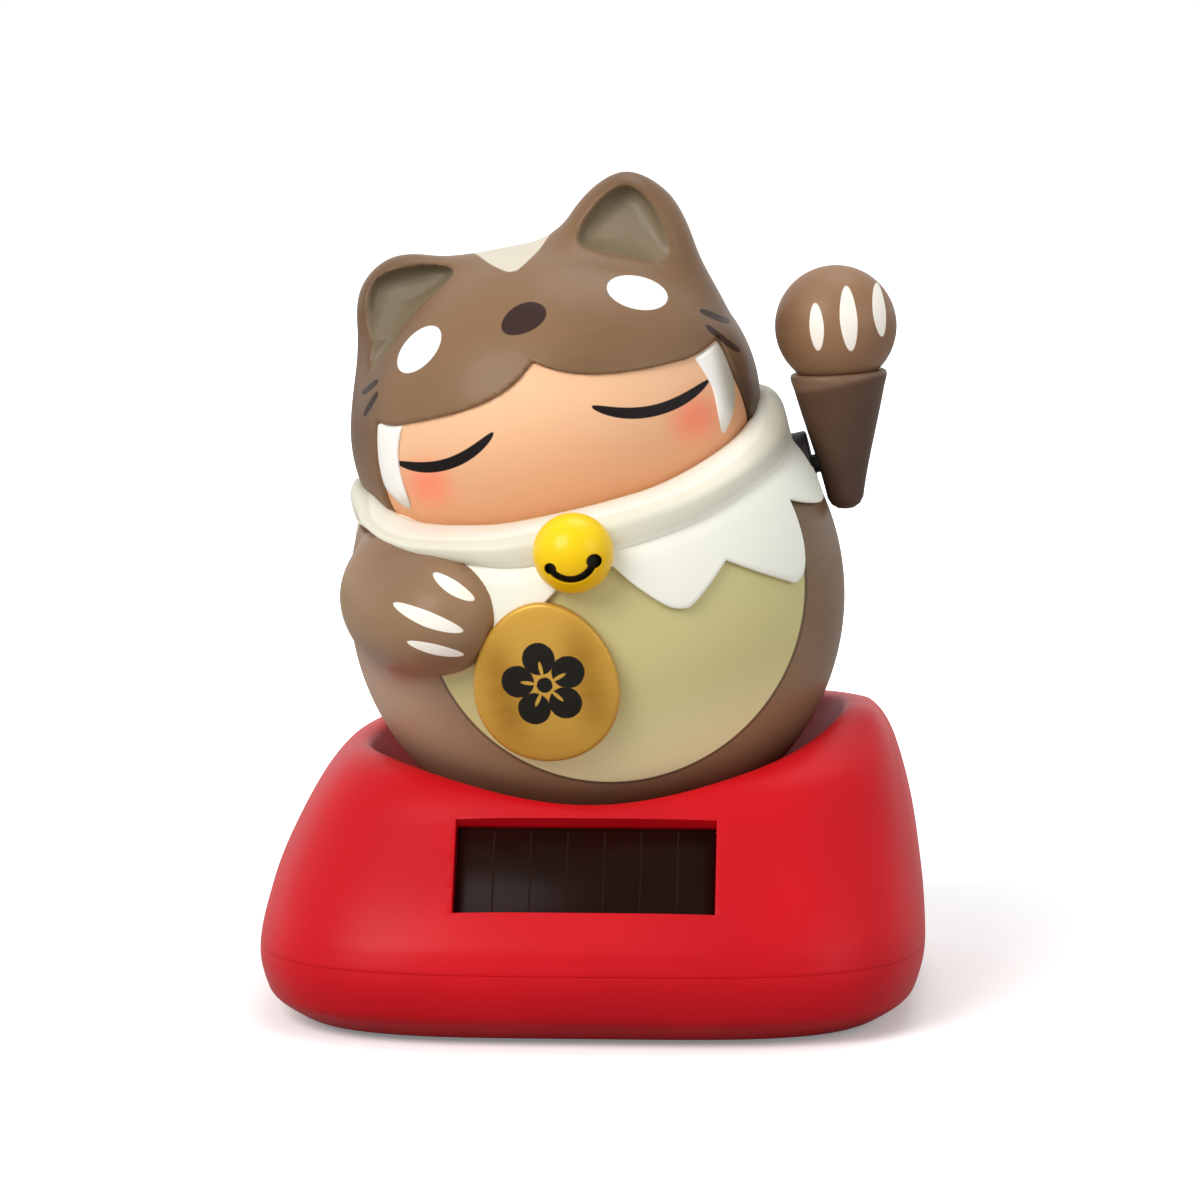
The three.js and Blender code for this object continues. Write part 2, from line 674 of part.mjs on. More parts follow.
// Flanged bush through the side of the body, which carries the arm's axle
function shoulderBush() {
  const disc = rod(bushRadius, [0, 0, armPivotZ], [bushEnd, 0, armPivotZ]);
  const flange = disc.subtract(ball(bodyRadius + fitGap));
  const barrel = rod(bushBarrel, [bushStart, 0, armPivotZ], [bushEnd, 0, armPivotZ]);
  const bore = rod(armAxleRadius + runGap, [0, 0, armPivotZ], [far, 0, armPivotZ], smallSteps);
  return flange.add(barrel).subtract(bore);
}

// A smooth closed curve through a few points, as [x, z] pairs
function smoothOutline(points, steps) {
  const curve = new THREE.CatmullRomCurve3(points.map(([x, z]) => new THREE.Vector3(x, 0, z)), true);
  return curve.getPoints(steps).slice(0, steps).map((point) => [point.x, point.z]);
}

// An ear swells from front to back, and draws in towards its root at both faces
function earSolid(ear, shrink = 0) {
  const outline = smoothOutline(ear.outline, fineSteps);
  const [rootX, rootZ] = ear.root;
  const rings = [];
  for (let i = 0; i <= earRings; i += 1) {
    const angle = Math.PI * ((i + 0.5) / (earRings + 1) - 0.5);
    const y = earY + (earDepth - shrink) * Math.sin(angle);
    const share = Math.cos(angle) ** earFullness;
    rings.push(outline.map(([x, z]) => {
      const reach = new THREE.Vector2(x - rootX, z - rootZ);
      reach.setLength(Math.max(reach.length() - shrink, 1) * share);
      return new THREE.Vector3(rootX + reach.x, y, rootZ + reach.y);
    }));
  }
  return loft(rings);
}

function earDish(ear, grow = 0) {
  const centre = new THREE.Vector2(...ear.dishCentre);
  const shape = new THREE.Shape(smoothOutline(ear.dish, roundSteps).map(([x, z]) => {
    const reach = new THREE.Vector2(x, z).sub(centre);
    return reach.setLength(reach.length() + 2 * grow).add(centre);
  }));
  return prism(shape, -far / 2, earDishFloor + grow);
}

function faceShape(inset = 0) {
  const [right, left] = [faceRight - inset, faceLeft + inset];
  const shape = new THREE.Shape();
  shape.moveTo(left, 0);
  shape.lineTo(right, 0);
  shape.lineTo(right, faceTop - faceCorner);
  shape.quadraticCurveTo(right, faceTop - inset, right - 2, faceTop - inset);
  shape.quadraticCurveTo(faceDipX, faceDip - inset, 0, faceNotch - inset);
  shape.quadraticCurveTo(-faceDipX, faceDip - inset, left + 2, faceTop - inset);
  shape.quadraticCurveTo(left, faceTop - inset, left, faceTop - faceCorner);
  shape.closePath();
  return shape;
}

function hoodWhole() {
  let solid = ellipsoid(headHalf, headCentre);
  let hollow = ellipsoid(grown(headHalf, -shellWall), headCentre);
  for (const ear of [rightEar, leftEar]) {
    solid = solid.add(earSolid(ear));
    hollow = hollow.add(earSolid(ear, shellWall));
  }
  for (const ear of [rightEar, leftEar]) {
    solid = solid.subtract(earDish(ear));
    hollow = hollow.subtract(earDish(ear, shellWall));
  }
  return solid.subtract(hollow).intersect(aboveNeck(fitGap / 2));
}

function facePlate() {
  const outer = ellipsoid(grown(headHalf, -faceSink), headCentre);
  const inner = ellipsoid(grown(headHalf, -faceSink - shellWall), headCentre);
  const opening = prism(faceShape(fitGap), -far / 2, -faceSink * 2);
  return outer.subtract(inner).intersect(opening).intersect(aboveNeck(fitGap / 2));
}

// A crescent that hangs from the hood's edge over the side of the face
function tusk(x, side) {
  const shape = new THREE.Shape();
  const at = (across, height) => [x + side * across, height];
  const middle = (tuskRoot + tuskTip) / 2;
  shape.moveTo(...at(0, tuskRoot - fitGap));
  shape.quadraticCurveTo(...at(tuskBow, middle), ...at(tuskWidth / 4, tuskTip));
  shape.quadraticCurveTo(...at(tuskWidth + tuskBow, middle), ...at(tuskWidth * 0.9, tuskRoot));
  shape.closePath();
  const outer = ellipsoid(grown(headHalf, tuskThickness - faceSink + fitGap), headCentre);
  const inner = ellipsoid(grown(headHalf, fitGap - faceSink), headCentre);
  const opening = prism(faceShape(fitGap), -far / 2, -2);
  return prism(shape, -far / 2, -2).intersect(outer.subtract(inner)).intersect(opening);
}

// Collar roll: an oval section that is carried round the neck
const roundFromFront = (angle) => THREE.MathUtils.radToDeg(Math.atan2(Math.sin(angle), Math.cos(angle)));
const collarUpper = smoothCurve(collarTop);
const collarLower = smoothCurve(collarEdge);
const collarHeight = (angle) => collarUpper(roundFromFront(angle)) - collarLower(roundFromFront(angle));
const collarMiddle = (angle) => (collarUpper(roundFromFront(angle)) + collarLower(roundFromFront(angle))) / 2;
const collarReach = (angle) => Math.sqrt(bodyRadius ** 2 - collarMiddle(angle) ** 2) + collarBulge;

// A solid ring whose section at each angle is a list of [radius, height] points
function sweptRing(sectionAt, steps) {
  const sections = [];
  for (let i = 0; i < steps; i += 1) {
    const angle = 2 * Math.PI * i / steps;
    sections.push(sectionAt(angle).map(
      ([radius, height]) => [radius * Math.sin(angle), -radius * Math.cos(angle), height],
    ));
  }
  const count = sections[0].length;
  const index = [];
  for (let i = 0; i < steps; i += 1) {
    for (let j = 0; j < count; j += 1) {
      const a = i * count + j;
      const b = i * count + (j + 1) % count;
      const c = (i + 1) % steps * count + j;
      const d = (i + 1) % steps * count + (j + 1) % count;
      index.push(a, c, b, b, c, d);
    }
  }
  const geometry = new THREE.BufferGeometry();
  geometry.setAttribute('position', new THREE.Float32BufferAttribute(sections.flat(2), 3));
  geometry.setIndex(index);
  return toSolid(geometry);
}

function capeHeight(angle) {
  const round = roundFromFront(angle);
  const next = Math.max(1, capeEdge.findIndex(([at]) => at >= round));
  const [[fromAt, fromZ], [toAt, toZ]] = [capeEdge[next - 1], capeEdge[next]];
  return THREE.MathUtils.mapLinear(round, fromAt, toAt, fromZ, toZ);
}

function collarRoll(grow = 0) {
  return sweptRing((angle) => {
    const points = [];
    for (let i = 0; i < rollSteps; i += 1) {
      const turn = 2 * Math.PI * i / rollSteps;
      const radius = collarReach(angle) - collarRollDepth + (collarRollDepth + grow) * Math.cos(turn);
      const half = collarHeight(angle) / 2 + grow;
      points.push([radius, collarMiddle(angle) + half * Math.sin(turn)]);
    }
    return points;
  }, fineSteps);
}

function collar() {
  const roll = collarRoll();
  const inner = bodyRadius + fitGap;
  const layer = ball(inner + capeThickness).subtract(ball(inner));
  const skirt = sweptRing((angle) => {
    const [low, high] = [capeHeight(angle), collarMiddle(angle)];
    const outside = bodyRadius + capeInside;
    return [[capeInside, low], [outside, low], [outside, high], [capeInside, high]];
  }, skirtSteps);
  let solid = roll.add(layer.intersect(skirt));
  solid = solid.subtract(ball(inner)).subtract(ellipsoid(grown(headHalf, fitGap), headCentre));
  solid = solid.subtract(heldArmRelief(fitGap));
  return solid.subtract(rod(bushRadius + fitGap, [0, 0, armPivotZ], [far, 0, armPivotZ], roundSteps));
}

function bell() {
  const y = -(collarReach(0) + bellOut);
  const centre = [bellX, y, bellZ];
  let solid = ball(bellRadius, centre, roundSteps);
  const slot = new THREE.Shape();
  slot.absarc(bellX, bellZ + 0.4, bellSlotRadius + bellSlotWidth / 2, Math.PI * 1.12, Math.PI * 1.88, false);
  slot.absarc(bellX, bellZ + 0.4, bellSlotRadius - bellSlotWidth / 2, Math.PI * 1.88, Math.PI * 1.12, true);
  slot.closePath();
  solid = solid.subtract(prism(slot, y - bellRadius * 2, y - bellRadius * 0.45, 10));
  return solid.subtract(collarRoll(fitGap)).subtract(ball(bodyRadius + 2 * fitGap + capeThickness));
}

function coin() {
  const turn = THREE.MathUtils.degToRad(coinTurnDeg);
  const shape = new THREE.Shape();
  const points = [];
  for (let i = 0; i < roundSteps; i += 1) {
    const angle = 2 * Math.PI * i / roundSteps;
    const taper = 1 - 0.1 * Math.sin(angle);
    const x = coinHalfWidth * Math.cos(angle) * taper;
    const z = coinHalfHeight * Math.sin(angle);
    points.push(new THREE.Vector2(
      coinX + x * Math.cos(turn) - z * Math.sin(turn),
      coinZ + x * Math.sin(turn) + z * Math.cos(turn),
    ));
  }
  shape.setFromPoints(points);
  const inner = bodyRadius + 2 * fitGap + capeThickness;
  const layer = ball(inner + coinThickness).subtract(ball(inner));
  return prism(shape, -far / 2, -bodyRadius / 3).intersect(layer).subtract(heldArmRelief(fitGap));
}

function carrier() {
  const mid = -carrierDepth + carrierThickness / 2;
  const bar = box([2 * bodyRadius, 2 * carrierHalfWidth, carrierThickness], [0, 0, mid]);
  const inside = bar.intersect(ball(bodyRadius - shellWall - fitGap));
  const cupTop = -carrierDepth + 0.2;
  const cupInner = magnetRadius + fitGap;
  const cupRoot = cupTop + carrierThickness / 2;
  const cup = toSolid(ring(cupInner, cupInner + cupWall, cupTop - cupDepth - fitGap, cupRoot));
  const cutter = rod(cupInner, [0, 0, -carrierDepth - cupDepth - 1], [0, 0, -carrierDepth]);
  return inside.add(cup).subtract(cutter);
}

function balanceWeight(side) {
  const low = -carrierDepth + carrierThickness + fitGap;
  const width = bodyRadius;
  const block = box(
    [width, 2 * weightHalfY, weightHeight],
    [side * (weightInnerX + width / 2), 0, low + weightHeight / 2],
  );
  return block.intersect(ball(bodyRadius - shellWall - fitGap));
}

function buildFigure(group) {
  const body = bodyWhole();
  addPart(group, 'body_front_shell', body.intersect(frontSide()), 'brown');
  addPart(group, 'body_rear_shell', body.intersect(rearSide()), 'brown');
  const hood = hoodWhole();
  const opening = prism(faceShape(), -far / 2, -faceSink);
  addPart(group, 'hood_front_shell', hood.intersect(frontSide()).subtract(opening), 'brown');
  addPart(group, 'hood_rear_shell', hood.intersect(rearSide()), 'brown');
  addPart(group, 'face_plate', facePlate(), 'face');
  addPart(group, 'tusk_left', tusk(leftTuskX, -1), 'white');
  addPart(group, 'tusk_right', tusk(rightTuskX, 1), 'white');
  const ruff = collar();
  addPart(group, 'collar_cape', ruff, 'white');
  addPart(group, 'shoulder_bush', shoulderBush(), 'black');
  addPart(group, 'bell', bell(), 'yellow');
  addPart(group, 'lucky_coin', coin(), 'gold');
  addPart(group, 'pivot_pin', rod(pinRadius, [0, -pinHalfLength, 0], [0, pinHalfLength, 0]), 'steel');
  addPart(group, 'magnet_carrier', carrier(), 'nylon');
  const magnet = rod(magnetRadius, [0, 0, -magnetDepth], [0, 0, magnetHeight - magnetDepth]);
  addPart(group, 'drive_magnet', magnet, 'magnet');
  addPart(group, 'balance_weight_left', balanceWeight(-1), 'steel');
  addPart(group, 'balance_weight_right', balanceWeight(1), 'steel');
}

// Waving arm, in a frame that has its origin on the axle

function alongArm(geometry) {
  return placed(geometry, [armTipX, 0, armTipZ - armPivotZ], [0, armLeanDeg, 0]);
}

function forearm() {
  const points = [[0, 0]];
  for (let i = 1; i <= 5; i += 1) {
    const angle = Math.PI / 2 * i / 5;
    points.push([armTipRadius * Math.sin(angle), armTipRadius * (1 - Math.cos(angle)) * 0.9]);
  }
  points.push([armNeckRadius, armNeckAt - 1], [armNeckRadius, armNeckAt]);
  points.push([0, armNeckAt]);
  const cone = alongArm(turned(points, roundSteps + 6));
  const seat = new THREE.SphereGeometry(pawRadius + fitGap, roundSteps, smallSteps);
  const cup = turned([
    [0, armCupLow], [armCupRadius * 0.7, armCupLow + 1], [armCupRadius, armNeckAt + 1], [0, armNeckAt + 1],
  ]);
  const axle = rod(armAxleRadius + runGap, [0, 0, 0], [armAxleEnd + fitGap, 0, 0], smallSteps);
  return cone.subtract(alongArm(seat.translate(0, 0, pawAt))).subtract(alongArm(cup)).subtract(axle);
}

function raisedPaw() {
  const outer = new THREE.SphereGeometry(pawRadius, roundSteps, smallSteps).translate(0, 0, pawAt);
  const inner = new THREE.SphereGeometry(pawRadius - pawWall, smallSteps, smallSteps / 2);
  inner.translate(0, 0, pawAt);
  const mouth = turned([[0, 0], [pawMouthRadius, 0], [pawMouthRadius, pawAt], [0, pawAt]], roundSteps);
  return alongArm(outer).subtract(alongArm(inner)).subtract(alongArm(mouth));
}

function armLever() {
  const x = armAxleInner + 1;
  const eye = rod(armLeverEye, [x, 0, 0], [x + armLeverThickness, 0, 0]);
  const stemSize = [armLeverThickness, armLeverWidth, armLeverDrop];
  const stem = box(stemSize, [x + armLeverThickness / 2, 0, -armLeverDrop / 2]);
  const axle = rod(armAxleRadius + runGap, [0, 0, 0], [far, 0, 0], smallSteps);
  return eye.add(stem).subtract(axle);
}

function armWeight() {
  const x = armAxleInner + 1;
  const disc = rod(
    armWeightRadius,
    [x + armLeverThickness / 2 - armWeightThickness / 2, 0, -armLeverDrop],
    [x + armLeverThickness / 2 + armWeightThickness / 2, 0, -armLeverDrop],
  );
  const groove = [armLeverThickness + 2 * fitGap, armLeverWidth + 2 * fitGap, 2 * armWeightRadius];
  return disc.subtract(box(groove, [x + armLeverThickness / 2, 0, -armLeverDrop + armWeightRadius - fitGap]));
}

function buildArm(group) {
  addPart(group, 'forearm', forearm(), 'brown');
  addPart(group, 'raised_paw', raisedPaw(), 'brown');
  const axle = rod(armAxleRadius, [armAxleInner, 0, 0], [armAxleEnd, 0, 0], smallSteps);
  addPart(group, 'arm_axle', axle, 'steel');
  addPart(group, 'arm_lever', armLever(), 'nylon');
  addPart(group, 'arm_weight', armWeight(), 'steel');
}

const figurine = new THREE.Group();
const figure = new THREE.Group();
const arm = new THREE.Group();
figure.position.set(...pivot);
figure.rotation.y = THREE.MathUtils.degToRad(-leanDeg);
arm.position.set(0, 0, armPivotZ);
figurine.add(figure);
figure.add(arm);
buildBase(figurine);
buildElectronics(figurine);
buildFigure(figure);
buildArm(arm);

export default figurine;
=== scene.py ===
import math
import bpy
import numpy as np
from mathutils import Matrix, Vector


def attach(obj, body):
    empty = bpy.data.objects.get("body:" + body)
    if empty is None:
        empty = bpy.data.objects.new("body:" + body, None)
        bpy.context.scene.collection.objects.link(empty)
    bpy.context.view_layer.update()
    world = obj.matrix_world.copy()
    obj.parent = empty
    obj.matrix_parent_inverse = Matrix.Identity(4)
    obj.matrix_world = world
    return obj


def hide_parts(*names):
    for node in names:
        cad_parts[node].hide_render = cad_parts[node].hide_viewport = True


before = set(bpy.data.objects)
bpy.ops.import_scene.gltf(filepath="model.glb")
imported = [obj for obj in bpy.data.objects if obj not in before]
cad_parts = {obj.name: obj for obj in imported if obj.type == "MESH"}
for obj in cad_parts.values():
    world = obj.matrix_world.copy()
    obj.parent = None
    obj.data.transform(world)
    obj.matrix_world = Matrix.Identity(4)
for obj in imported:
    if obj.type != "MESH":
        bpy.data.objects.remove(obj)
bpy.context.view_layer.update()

scene = bpy.context.scene
scene.view_settings.view_transform = "Standard"

# Lengths are in millimetres until a mesh is made. The figure's own frame sits on its pivot and leans with it.
stance = {"pivotHeight": 53.2, "lean": math.radians(13)}


def leaned(points, angle, origin):  # turned about the Y axis, then moved to a new origin
    x, y, z = points.T
    c, s = math.cos(angle), math.sin(angle)
    return np.column_stack((x * c + z * s, y, z * c - x * s)) + np.array(origin)


def inFigure(points):
    return leaned(points, -stance["lean"], (0, 0, stance["pivotHeight"]))


def inWorld(points):
    return points


# Node trees


class Wire:  # a socket that takes part in a sum
    def __init__(self, tree, socket):
        self.tree, self.socket = tree, socket

    def maths(self, operation, *others, turned=False):
        values = (*others, self) if turned else (self, *others)
        return self.tree.add("ShaderNodeMath", {"operation": operation}, dict(enumerate(values)))

    def __add__(self, other):
        return self.maths("ADD", other)

    def __sub__(self, other):
        return self.maths("SUBTRACT", other)

    def __rsub__(self, other):
        return self.maths("SUBTRACT", other, turned=True)

    def __mul__(self, other):
        return self.maths("MULTIPLY", other)

    def __truediv__(self, other):
        return self.maths("DIVIDE", other)

    def __pow__(self, other):
        return self.maths("POWER", other)

    def __abs__(self):
        return self.maths("ABSOLUTE")

    __radd__, __rmul__ = __add__, __mul__


class Tree:  # one way to add any node: its type, its settings, then the values or links of its sockets
    def __init__(self, nodeTree):
        self.nodeTree = nodeTree

    def add(self, kind, settings=None, inputs=None, output=0):
        node = self.nodeTree.nodes.new(kind)
        for key, value in (settings or {}).items():
            setattr(node, key, value)
        for key, value in (inputs or {}).items():
            for each in value if isinstance(value, list) else [value]:
                if isinstance(each, Wire):
                    self.nodeTree.links.new(each.socket, node.inputs[key])
                else:
                    node.inputs[key].default_value = each
        return Wire(self, node.outputs[output]) if len(node.outputs) else node


def shade(colour):  # a display colour as linear light, while a wire stays as it is
    if isinstance(colour, Wire):
        return colour
    steps = [value / 255 for value in colour]
    return (*[((step + 0.055) / 1.055) ** 2.4 if step > 0.04 else step / 12.92 for step in steps], 1)


def lengthOf(across, up):  # distance of a place from its two offsets
    return (across ** 2 + up ** 2).maths("SQRT")


class Finish(Tree):  # a material painted in layers, on x, y and z in millimetres of the figure or the world
    def __init__(self, name, onFigure=True):
        self.material = bpy.data.materials.new(name)
        self.material.use_nodes = True
        super().__init__(self.material.node_tree)
        self.nodeTree.nodes.clear()
        coords = self.add("ShaderNodeTexCoord", output=3)
        if onFigure:
            pivot = (0, 0, stance["pivotHeight"] / 1000)
            self.coords = self.add("ShaderNodeMapping", {"vector_type": "TEXTURE"}, {
                0: coords, 1: pivot, 2: (0, -stance["lean"], 0), 3: (0.001,) * 3})
        else:
            self.coords = self.stretched((1000,) * 3, coords)
        self.axes = [self.add("ShaderNodeSeparateXYZ", None, {0: self.coords}, axis) for axis in range(3)]

    def stretched(self, scale, coords=None):
        return self.add("ShaderNodeMapping", {"vector_type": "POINT"}, {0: coords or self.coords, 3: scale})

    def ramp(self, value, start, end):  # 0 at the start and 1 at the end, which may be the smaller number
        settings = {"interpolation_type": "SMOOTHSTEP"}
        return self.add("ShaderNodeMapRange", settings, {0: value, 1: start, 2: end})

    def mix(self, mask, first, second):
        inputs = {0: mask, 6: shade(first), 7: shade(second)}
        return self.add("ShaderNodeMix", {"data_type": "RGBA"}, inputs, 2)

    def layer(self, colour, mask):  # paints a colour over what is there
        self.colour = self.mix(mask, self.colour, colour)

    def noise(self, scale, detail, coords=None):
        return self.add("ShaderNodeTexNoise", None, {0: coords or self.coords, 2: scale, 3: detail})

    def spot(self, x, z, centre, half, turn, edge, point=2):  # a painted oval or lens, seen from the front
        turn = math.radians(turn)
        along = (x - centre[0]) * math.cos(turn) + (z - centre[1]) * math.sin(turn)
        across = (z - centre[1]) * math.cos(turn) - (x - centre[0]) * math.sin(turn)
        reach = (abs(along) / half[0]) ** point + (abs(across) / half[1]) ** 2
        return self.ramp(reach, 1 + edge, 1 - edge)

    def stroke(self, x, z, bend, middle, half, thick, edge=0.07):  # a painted parabola that thins to its ends
        base, rise, low = bend
        offset = x - low
        slope = (offset * offset * (4 * rise * rise) + 1).maths("SQRT")
        away = abs(z - (offset * offset * rise + base)) / slope
        span = abs((x - middle) / half)
        width = (1 - span ** 3).maths("MAXIMUM", 0) ** 0.5 * (thick / 2)
        return self.ramp(away - width, edge, -edge) * self.ramp(span, 1, 0.985)

    # A bump is its height, its size in millimetres and its strength.
    def surface(self, roughness, coat=0, bump=None, specular=0.2, metallic=0):
        inputs = {"Base Color": shade(self.colour), "Roughness": roughness, "Metallic": metallic,
                  "Coat Weight": coat, "Coat Roughness": 0.12, "Specular IOR Level": specular}
        if bump:
            inputs["Normal"] = self.add("ShaderNodeBump", None, {
                "Strength": bump[2], "Distance": bump[1] / 1000, "Height": bump[0]})
        self.add("ShaderNodeOutputMaterial", None, {0: self.add("ShaderNodeBsdfPrincipled", None, inputs)})
        return self.material


def plainFinish(name, colour, roughness, metallic=0, second=None, scale=0.4):  # a faintly mottled colour
    paint = Finish(name, False)
    grain = paint.noise(scale, 3)
    second = second or tuple(channel * 0.88 for channel in colour)
    paint.colour = paint.mix(paint.ramp(grain, 0.35, 0.65), colour, second)
    return paint.surface(roughness, 0, (grain, 0.03, 0.3), 0.3, metallic)


def brownPaint(name, brown, deepBrown):  # airbrushed brown with faint brushed streaks
    paint = Finish(name)
    paint.grain = paint.noise(1.0, 3, paint.stretched((0.05, 0.05, 0.5)))
    paint.colour = paint.mix(paint.ramp(paint.noise(0.035, 1), 0.35, 0.65), brown, deepBrown)
    paint.layer(tuple(min(255, channel * 1.1) for channel in brown), paint.ramp(paint.grain, 0.3, 0.8) * 0.16)
    return paint


def seamBump(paint):  # the grain, and the fine joint between the front and rear shells
    return paint.grain - paint.ramp(abs(paint.axes[1]), 0.22, 0.06) * 1.5, 0.06, 0.35


# Meshes


def linked(made):
    scene.collection.objects.link(made)
    return made


def makeObject(name, points, faces, place=inFigure, normals=None):
    mesh = bpy.data.meshes.new(name)
    mesh.from_pydata((place(points) / 1000).tolist(), [], faces)
    mesh.shade_smooth()
    if normals is not None:
        origin = place(np.zeros((1, 3)))
        mesh.normals_split_custom_set_from_vertices((place(normals) - origin).tolist())
    return linked(bpy.data.objects.new(name, mesh))


def sharpen(piece, degrees):  # smooth shading that breaks at real edges
    piece.data.shade_smooth()
    piece.data.set_sharp_from_angle(angle=math.radians(degrees))
    return piece


def settle(piece):  # keeps the result of the piece's modifiers as its own mesh
    mesh = bpy.data.meshes.new_from_object(piece.evaluated_get(bpy.context.evaluated_depsgraph_get()))
    piece.modifiers.clear()
    piece.data = mesh


def carve(piece, cutter, edge=0):  # takes the cutter out of the piece and may round the sharp edges
    cut = piece.modifiers.new("cut", "BOOLEAN")
    cut.object, cut.solver = cutter, "EXACT"
    if edge:
        soften = piece.modifiers.new("soften", "BEVEL")
        soften.width, soften.segments = edge / 1000, 2
        soften.limit_method, soften.angle_limit = "ANGLE", math.radians(50)
    settle(piece)
    bpy.data.objects.remove(cutter)


def finished(piece, material, body, slot, *replaced):  # a piece's finish, its body and the nodes it replaces
    piece.data.materials.clear()
    piece.data.materials.append(material)
    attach(piece, body)
    if replaced:
        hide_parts(*replaced)


def blended(first, second, width):  # smooth union of two distances
    share = np.clip(0.5 + 0.5 * (second - first) / width, 0, 1)
    return second * (1 - share) + first * share - width * share * (1 - share)


def trimmed(first, cutter, width):  # what is left of the first outside the cutter, with a rounded edge
    return -blended(-first, cutter, width)


def ovalField(points, centre, half):
    away = (points - np.array(centre)) / half
    first = np.linalg.norm(away, axis=1)
    return first * (first - 1) / (np.linalg.norm(away / half, axis=1) + 1e-9)


def slopeOf(field, points, step):
    slopes = [(field(points + offset) - field(points - offset)) / (2 * step) for offset in np.eye(3) * step]
    return np.column_stack(slopes)


def averaged(index, values, count):
    total = np.column_stack([np.bincount(index, values[:, axis], count) for axis in range(3)])
    return total / np.bincount(index, minlength=count)[:, None]


def surfaceOf(name, field, low, high, step):  # the zero surface of a field as evenly sized quads
    axes = [np.arange(a, b + step, step) for a, b in zip(low, high)]
    shape = np.array([len(axis) for axis in axes])
    grid = np.stack(np.meshgrid(*axes, indexing="ij"), axis=-1)
    value = field(grid.reshape(-1, 3)).reshape(shape)
    quads, corners = [], []
    for axis in range(3):
        ahead = np.roll(value, -1, axis)
        crossing = (value < 0) != (ahead < 0)
        crossing[tuple(slice(-1, None) if i == axis else slice(None) for i in range(3))] = False
        at, point = np.argwhere(crossing), grid[crossing]
        here, there = value[crossing], ahead[crossing]
        point[:, axis] += step * here / (here - there)
        u, v = np.eye(3, dtype=int)[[(axis + 1) % 3, (axis + 2) % 3]]
        around = np.stack([at, at - u, at - u - v, at - v], axis=1)
        quad = (around * [shape[1] * shape[2], shape[2], 1]).sum(axis=2)
        quad[here > 0] = quad[here > 0][:, ::-1]
        quads.append(quad)
        corners.append(np.repeat(point, 4, axis=0))
    quads = np.concatenate(quads)
    used, faces = np.unique(quads, return_inverse=True)
    faces = faces.reshape(quads.shape)
    points = averaged(faces.reshape(-1), np.concatenate(corners), len(used))
    turned = np.roll(faces, -1, axis=1)
    ends, starts = np.concatenate([faces, turned]).reshape(-1), np.concatenate([turned, faces]).reshape(-1)
    for evening in range(3):
        for pull in range(2):
            slope = slopeOf(field, points, step * 0.05)
            points = points - slope * (field(points) / ((slope ** 2).sum(axis=1) + 1e-9))[:, None]
        if evening < 2:
            slope = slopeOf(field, points, step * 0.05)
            slope /= np.linalg.norm(slope, axis=1)[:, None] + 1e-9
            shift = averaged(ends, points[starts], len(used)) - points
            points = points + 0.6 * (shift - slope * (shift * slope).sum(axis=1)[:, None])
    return makeObject(name, points, faces.tolist(), normals=slopeOf(field, points, step * 0.1)), points


def gridFaces(rows, columns, closed=True):  # quads of a grid whose columns may close on themselves
    faces = []
    for row in range(rows - 1):
        for column in range(columns if closed else columns - 1):
            after = (column + 1) % columns
            faces.append((row * columns + column, row * columns + after,
                          (row + 1) * columns + after, (row + 1) * columns + column))
    return faces


def turnedOver(faces):
    return [tuple(reversed(face)) for face in faces]


def capped(points, columns, ends=None):  # points and faces of a solid: its grid, and a fan at each end
    faces = gridFaces(len(points) // columns, columns)
    rings = [list(range(first, first + columns)) for first in (0, len(points) - columns)]
    for centre, ring in enumerate(rings, len(points)):
        fan = [(i, j, centre) for i, j in zip(ring, ring[1:] + ring[:1])]
        faces += fan if ring[0] else [(j, i, centre) for i, j, centre in fan]
    if ends is None:
        ends = [points[ring].mean(axis=0) for ring in rings]
    return np.concatenate([points, ends]), faces


def ringAngles(steps):
    return np.arange(steps) * 2 * math.pi / steps


def ringSolid(name, rows, steps, place, ends=None):  # a solid from rings of reach and height
    angles = ringAngles(steps)
    rings = [np.column_stack((r * np.cos(angles), r * np.sin(angles), np.full(steps, h))) for r, h in rows]
    return makeObject(name, *capped(np.concatenate(rings), steps, ends), place)


def turnedSolid(name, profile, steps, place):  # a lathe whose profile starts and ends on its axis
    ends = [[0, 0, profile[0][1]], [0, 0, profile[-1][1]]]
    return ringSolid(name, profile[1:-1], steps, place, ends)


def prismFaces(rings, sides, first=0):  # faces between rings of a few sides, with flat ends
    last = first + (rings - 1) * sides
    ends = [tuple(reversed(range(first, first + sides))), tuple(range(last, last + sides))]
    return ends + [tuple(first + index for index in face) for face in gridFaces(rings, sides)]


def curveThrough(pairs):  # a smooth curve through [position, value] pairs that doesn't overshoot
    at, value = np.array(pairs, float).T
    slope = np.diff(value) / np.diff(at)
    pull = np.concatenate([[slope[0]], np.zeros(len(at) - 2), [slope[-1]]])
    both = slope[:-1] * slope[1:]
    pull[1:-1] = np.where(both > 0, 2 * both / np.where(both > 0, slope[:-1] + slope[1:], 1), 0)

    def read(position):
        position = np.clip(position, at[0], at[-1])
        i = np.clip(np.searchsorted(at, position) - 1, 0, len(at) - 2)
        span = at[i + 1] - at[i]
        t = (position - at[i]) / span
        rest = 1 - t
        start = (1 + 2 * t) * rest ** 2 * value[i] + t * rest ** 2 * span * pull[i]
        return start + t * t * (3 - 2 * t) * value[i + 1] - t * t * rest * span * pull[i + 1]
    return read


def alongCurve(points, places):  # a smooth curve past all points but the first and last, read at some places
    made = []
    for place in places:
        i, t = int(place), place % 1
        a, b, c, d = points[i:i + 4]
        made.append(0.5 * (2 * b + (c - a) * t + (2 * a - 5 * b + 4 * c - d) * t ** 2
                           + (3 * b - a - 3 * c + d) * t ** 3))
    return np.array(made)


